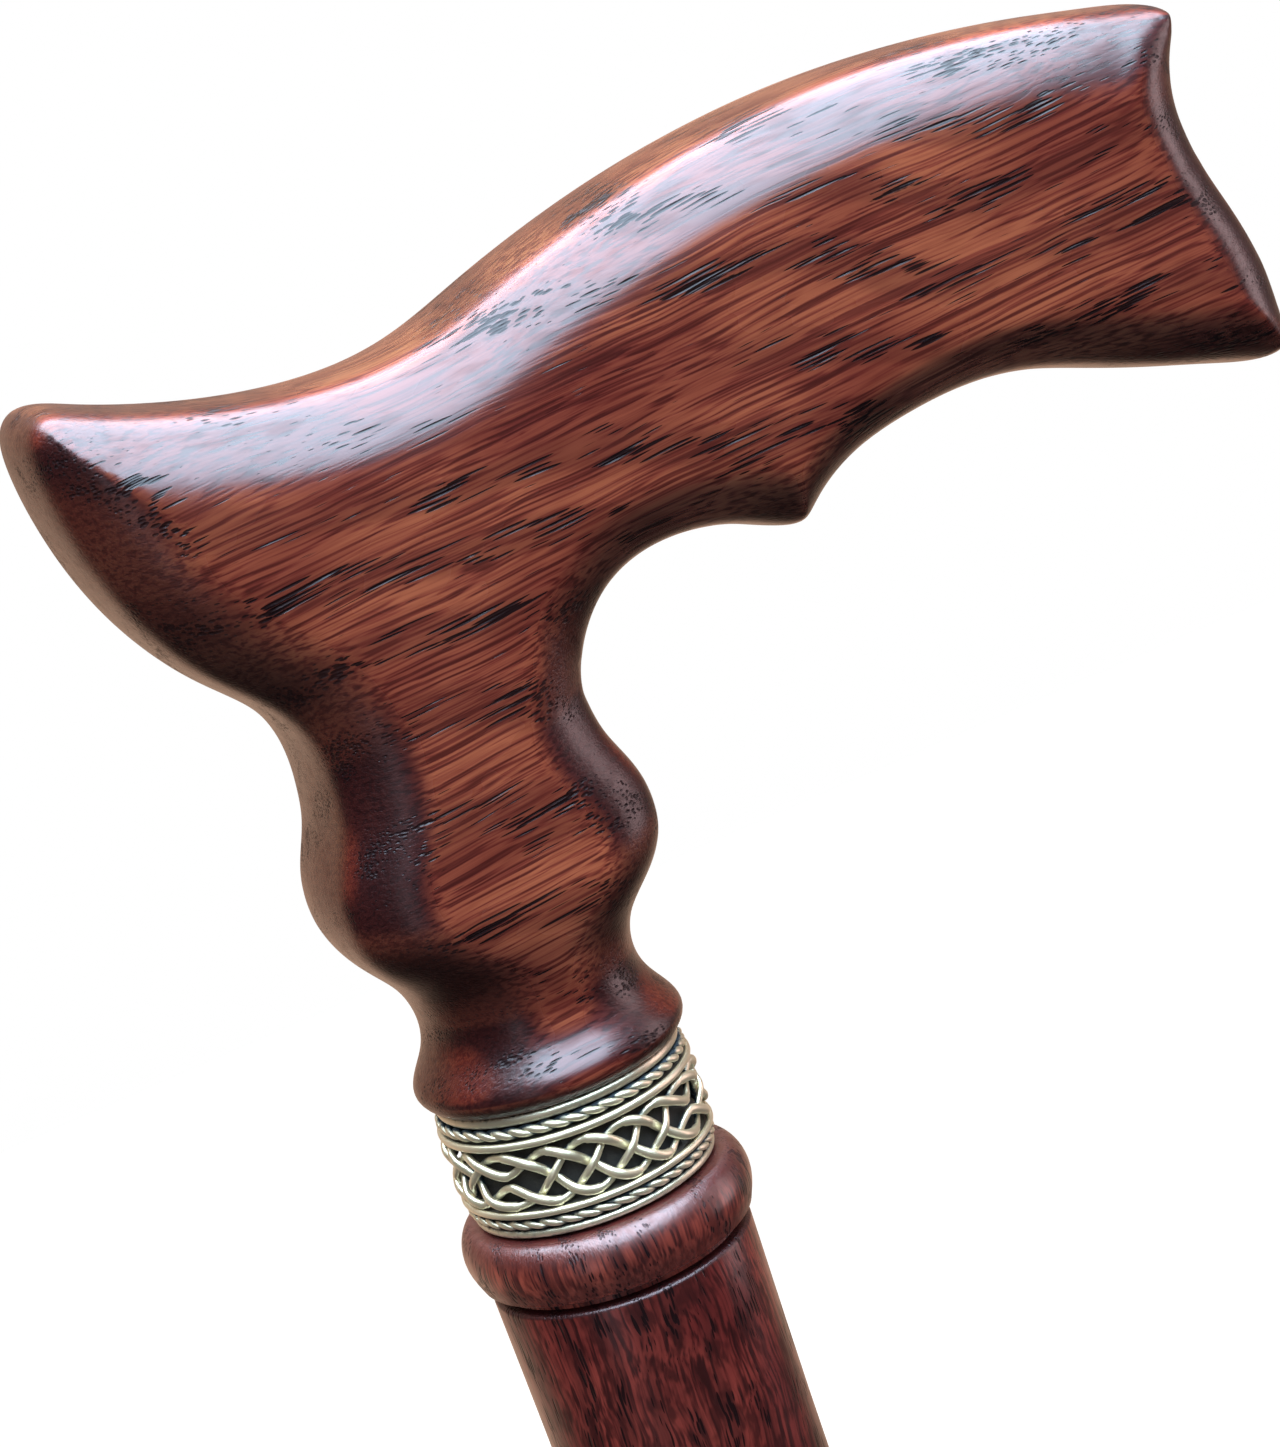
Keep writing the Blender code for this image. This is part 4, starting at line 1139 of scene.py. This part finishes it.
# Only the handle gets the painted light and shade by facing, set in the last column.
WOODS = (
    (handle, "handle", ALONG, (0.0, 0.0, 5.0), MAHOGANY, SAWN, (0.27, 0.55, 0.27), 0.15, 1.0, True),
    (collar, "collar", UPRIGHT, (0.0, 9.0, 0.0), BEAD_RED, TURNED, (0.32, 0.85, 0.4), 0.5, 2.0, False),
    (shaft, "shaft", UPRIGHT, (0.0, 3.0, 0.0), BURGUNDY, TURNED, (0.3, 0.5, 0.25), 0.8, 2.4, False),
)
for piece, name, *settings in WOODS:
    set_finish(piece, wood_finish(name + "_wood_finish", *settings))

# %% [markdown]
# Silver is bright and a little warm where hands polish it, and dark where tarnish stays in the
# recesses. How far a point lies from the ring's axis tells where the tarnish covers it.

# %% Silver
PATCHY, SILVER_ROUGHER = 0.5, (0.3, 0.12)
numbers = {"Dark Below": 12.3, "Bright Above": 12.9}
tarnish, tarnish_in, tarnish_out = new_group("tarnish", numbers, ("Cover", "Skin"))
place = tarnish_in.outputs["Place"]
parts = put(tarnish, "SeparateXYZ", {0: place}).outputs
flat_place = put(tarnish, "CombineXYZ", {"X": parts["X"], "Y": parts["Y"]}).outputs[0]
from_axis = put(tarnish, "VectorMath", {0: flat_place}, operation="LENGTH").outputs["Value"]
uneven = put(tarnish, "TexNoise", {"Vector": place, "Scale": 1.6, "Detail": 3.0}).outputs["Fac"]
from_axis = times(maths("SUBTRACT", uneven, 0.5), PATCHY, from_axis)
bright = smooth_step(from_axis, tarnish_in.outputs["Dark Below"], tarnish_in.outputs["Bright Above"])
fine = put(tarnish, "TexNoise", {"Vector": place, "Scale": 9.0, "Detail": 4.0}).outputs["Fac"]
feed(tarnish_out, {"Cover": times(bright, -1.0, 1.0), "Skin": fine})


def two_tone_finish(name, group, numbers, rougher, tones, roughness, metallic, depth):
    """A tone that a second one covers in places, with a fine skin.

    Rougher is what the cover and the skin add to the roughness, and depth is the skin's.
    """
    material, tree, shader = new_finish(name, {"Metallic": metallic})
    masks = put(tree, "Group", {"Place": place_in_mm(tree), **numbers}, node_tree=group).outputs
    looks = {
        "Base Color": blend(tree, masks["Cover"], *tones),
        "Roughness": times(masks["Skin"], rougher[1], times(masks["Cover"], rougher[0], roughness)),
        "Normal": bumped(masks["Skin"], depth),
    }
    feed(shader, looks)
    return material


BRIGHT = ((0.76, 0.71, 0.52), (0.025, 0.038, 0.048))
BLACKENED = ((0.12, 0.11, 0.09), (0.035, 0.03, 0.024))
# Dark below, bright above, tones, roughness, metallic and depth of the scratches.
SILVERS = {
    "warm_silver": (12.62, 12.95, BRIGHT, 0.27, 0.62, 0.02),
    "twisted_silver": (12.98, 13.28, BRIGHT, 0.27, 0.62, 0.02),
    "blackened_silver": (12.1, 12.7, BLACKENED, 0.45, 0.3, 0.06),
}
silvers = []
for name, (dark, bright, *settings) in SILVERS.items():
    numbers = {"Dark Below": dark, "Bright Above": bright}
    silvers.append(two_tone_finish(name, tarnish, numbers, SILVER_ROUGHER, *settings))
for piece in bpy.data.objects:
    if piece.get("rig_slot") == "silver":
        set_finish(piece, silvers["rope" in piece.name])
set_finish(sleeve, silvers[-1])

# %% [markdown]
# The rubber tip is matte black with a fine moulded skin, and dust greys it a little. The steel
# stud and disc and the brass insert are hidden, and keep their CAD meshes with a plain finish.

# %% Rubber, steel and brass
DUST_STEP, DUST_SHARE, SKIN_ROUGHER = (0.45, 0.75), 0.5, (0.0, 0.15)
skin, skin_in, skin_out = new_group("fine_skin", {}, ("Cover", "Skin"))
place = skin_in.outputs["Place"]
patches = put(skin, "TexNoise", {"Vector": place, "Scale": 0.12, "Detail": 3.0}).outputs["Fac"]
fine = put(skin, "TexNoise", {"Vector": place, "Scale": 3.0, "Detail": 4.0}).outputs["Fac"]
feed(skin_out, {"Cover": times(smooth_step(patches, *DUST_STEP), DUST_SHARE), "Skin": fine})

# Tones, roughness, metallic and depth of the skin.
PLAIN = {
    "moulded_rubber": (((0.018, 0.018, 0.019), (0.055, 0.052, 0.05)), 0.62, 0.0, 0.03),
    "zinc_plated_steel": (((0.52, 0.53, 0.54), (0.40, 0.40, 0.38)), 0.28, 1.0, 0.01),
    "turned_brass": (((0.62, 0.43, 0.17), (0.45, 0.30, 0.12)), 0.3, 1.0, 0.01),
}
rubber, steel, brass = [two_tone_finish(name, skin, {}, SKIN_ROUGHER, *PLAIN[name]) for name in PLAIN]
set_finish(tip, rubber)
for node, material in (("hanger_bolt", steel), ("tip_disc", steel), ("handle_insert", brass)):
    nodes[node].material_slots[0].material = material
print("finishes:", ", ".join(sorted(material.name for material in bpy.data.materials if material.users)))

# %% Measure and finish
visual_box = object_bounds()
growth = (visual_box[1] - visual_box[0]) - (cad_box[1] - cad_box[0])
print("grown by", [round(side / MM, 2) for side in growth], "mm")
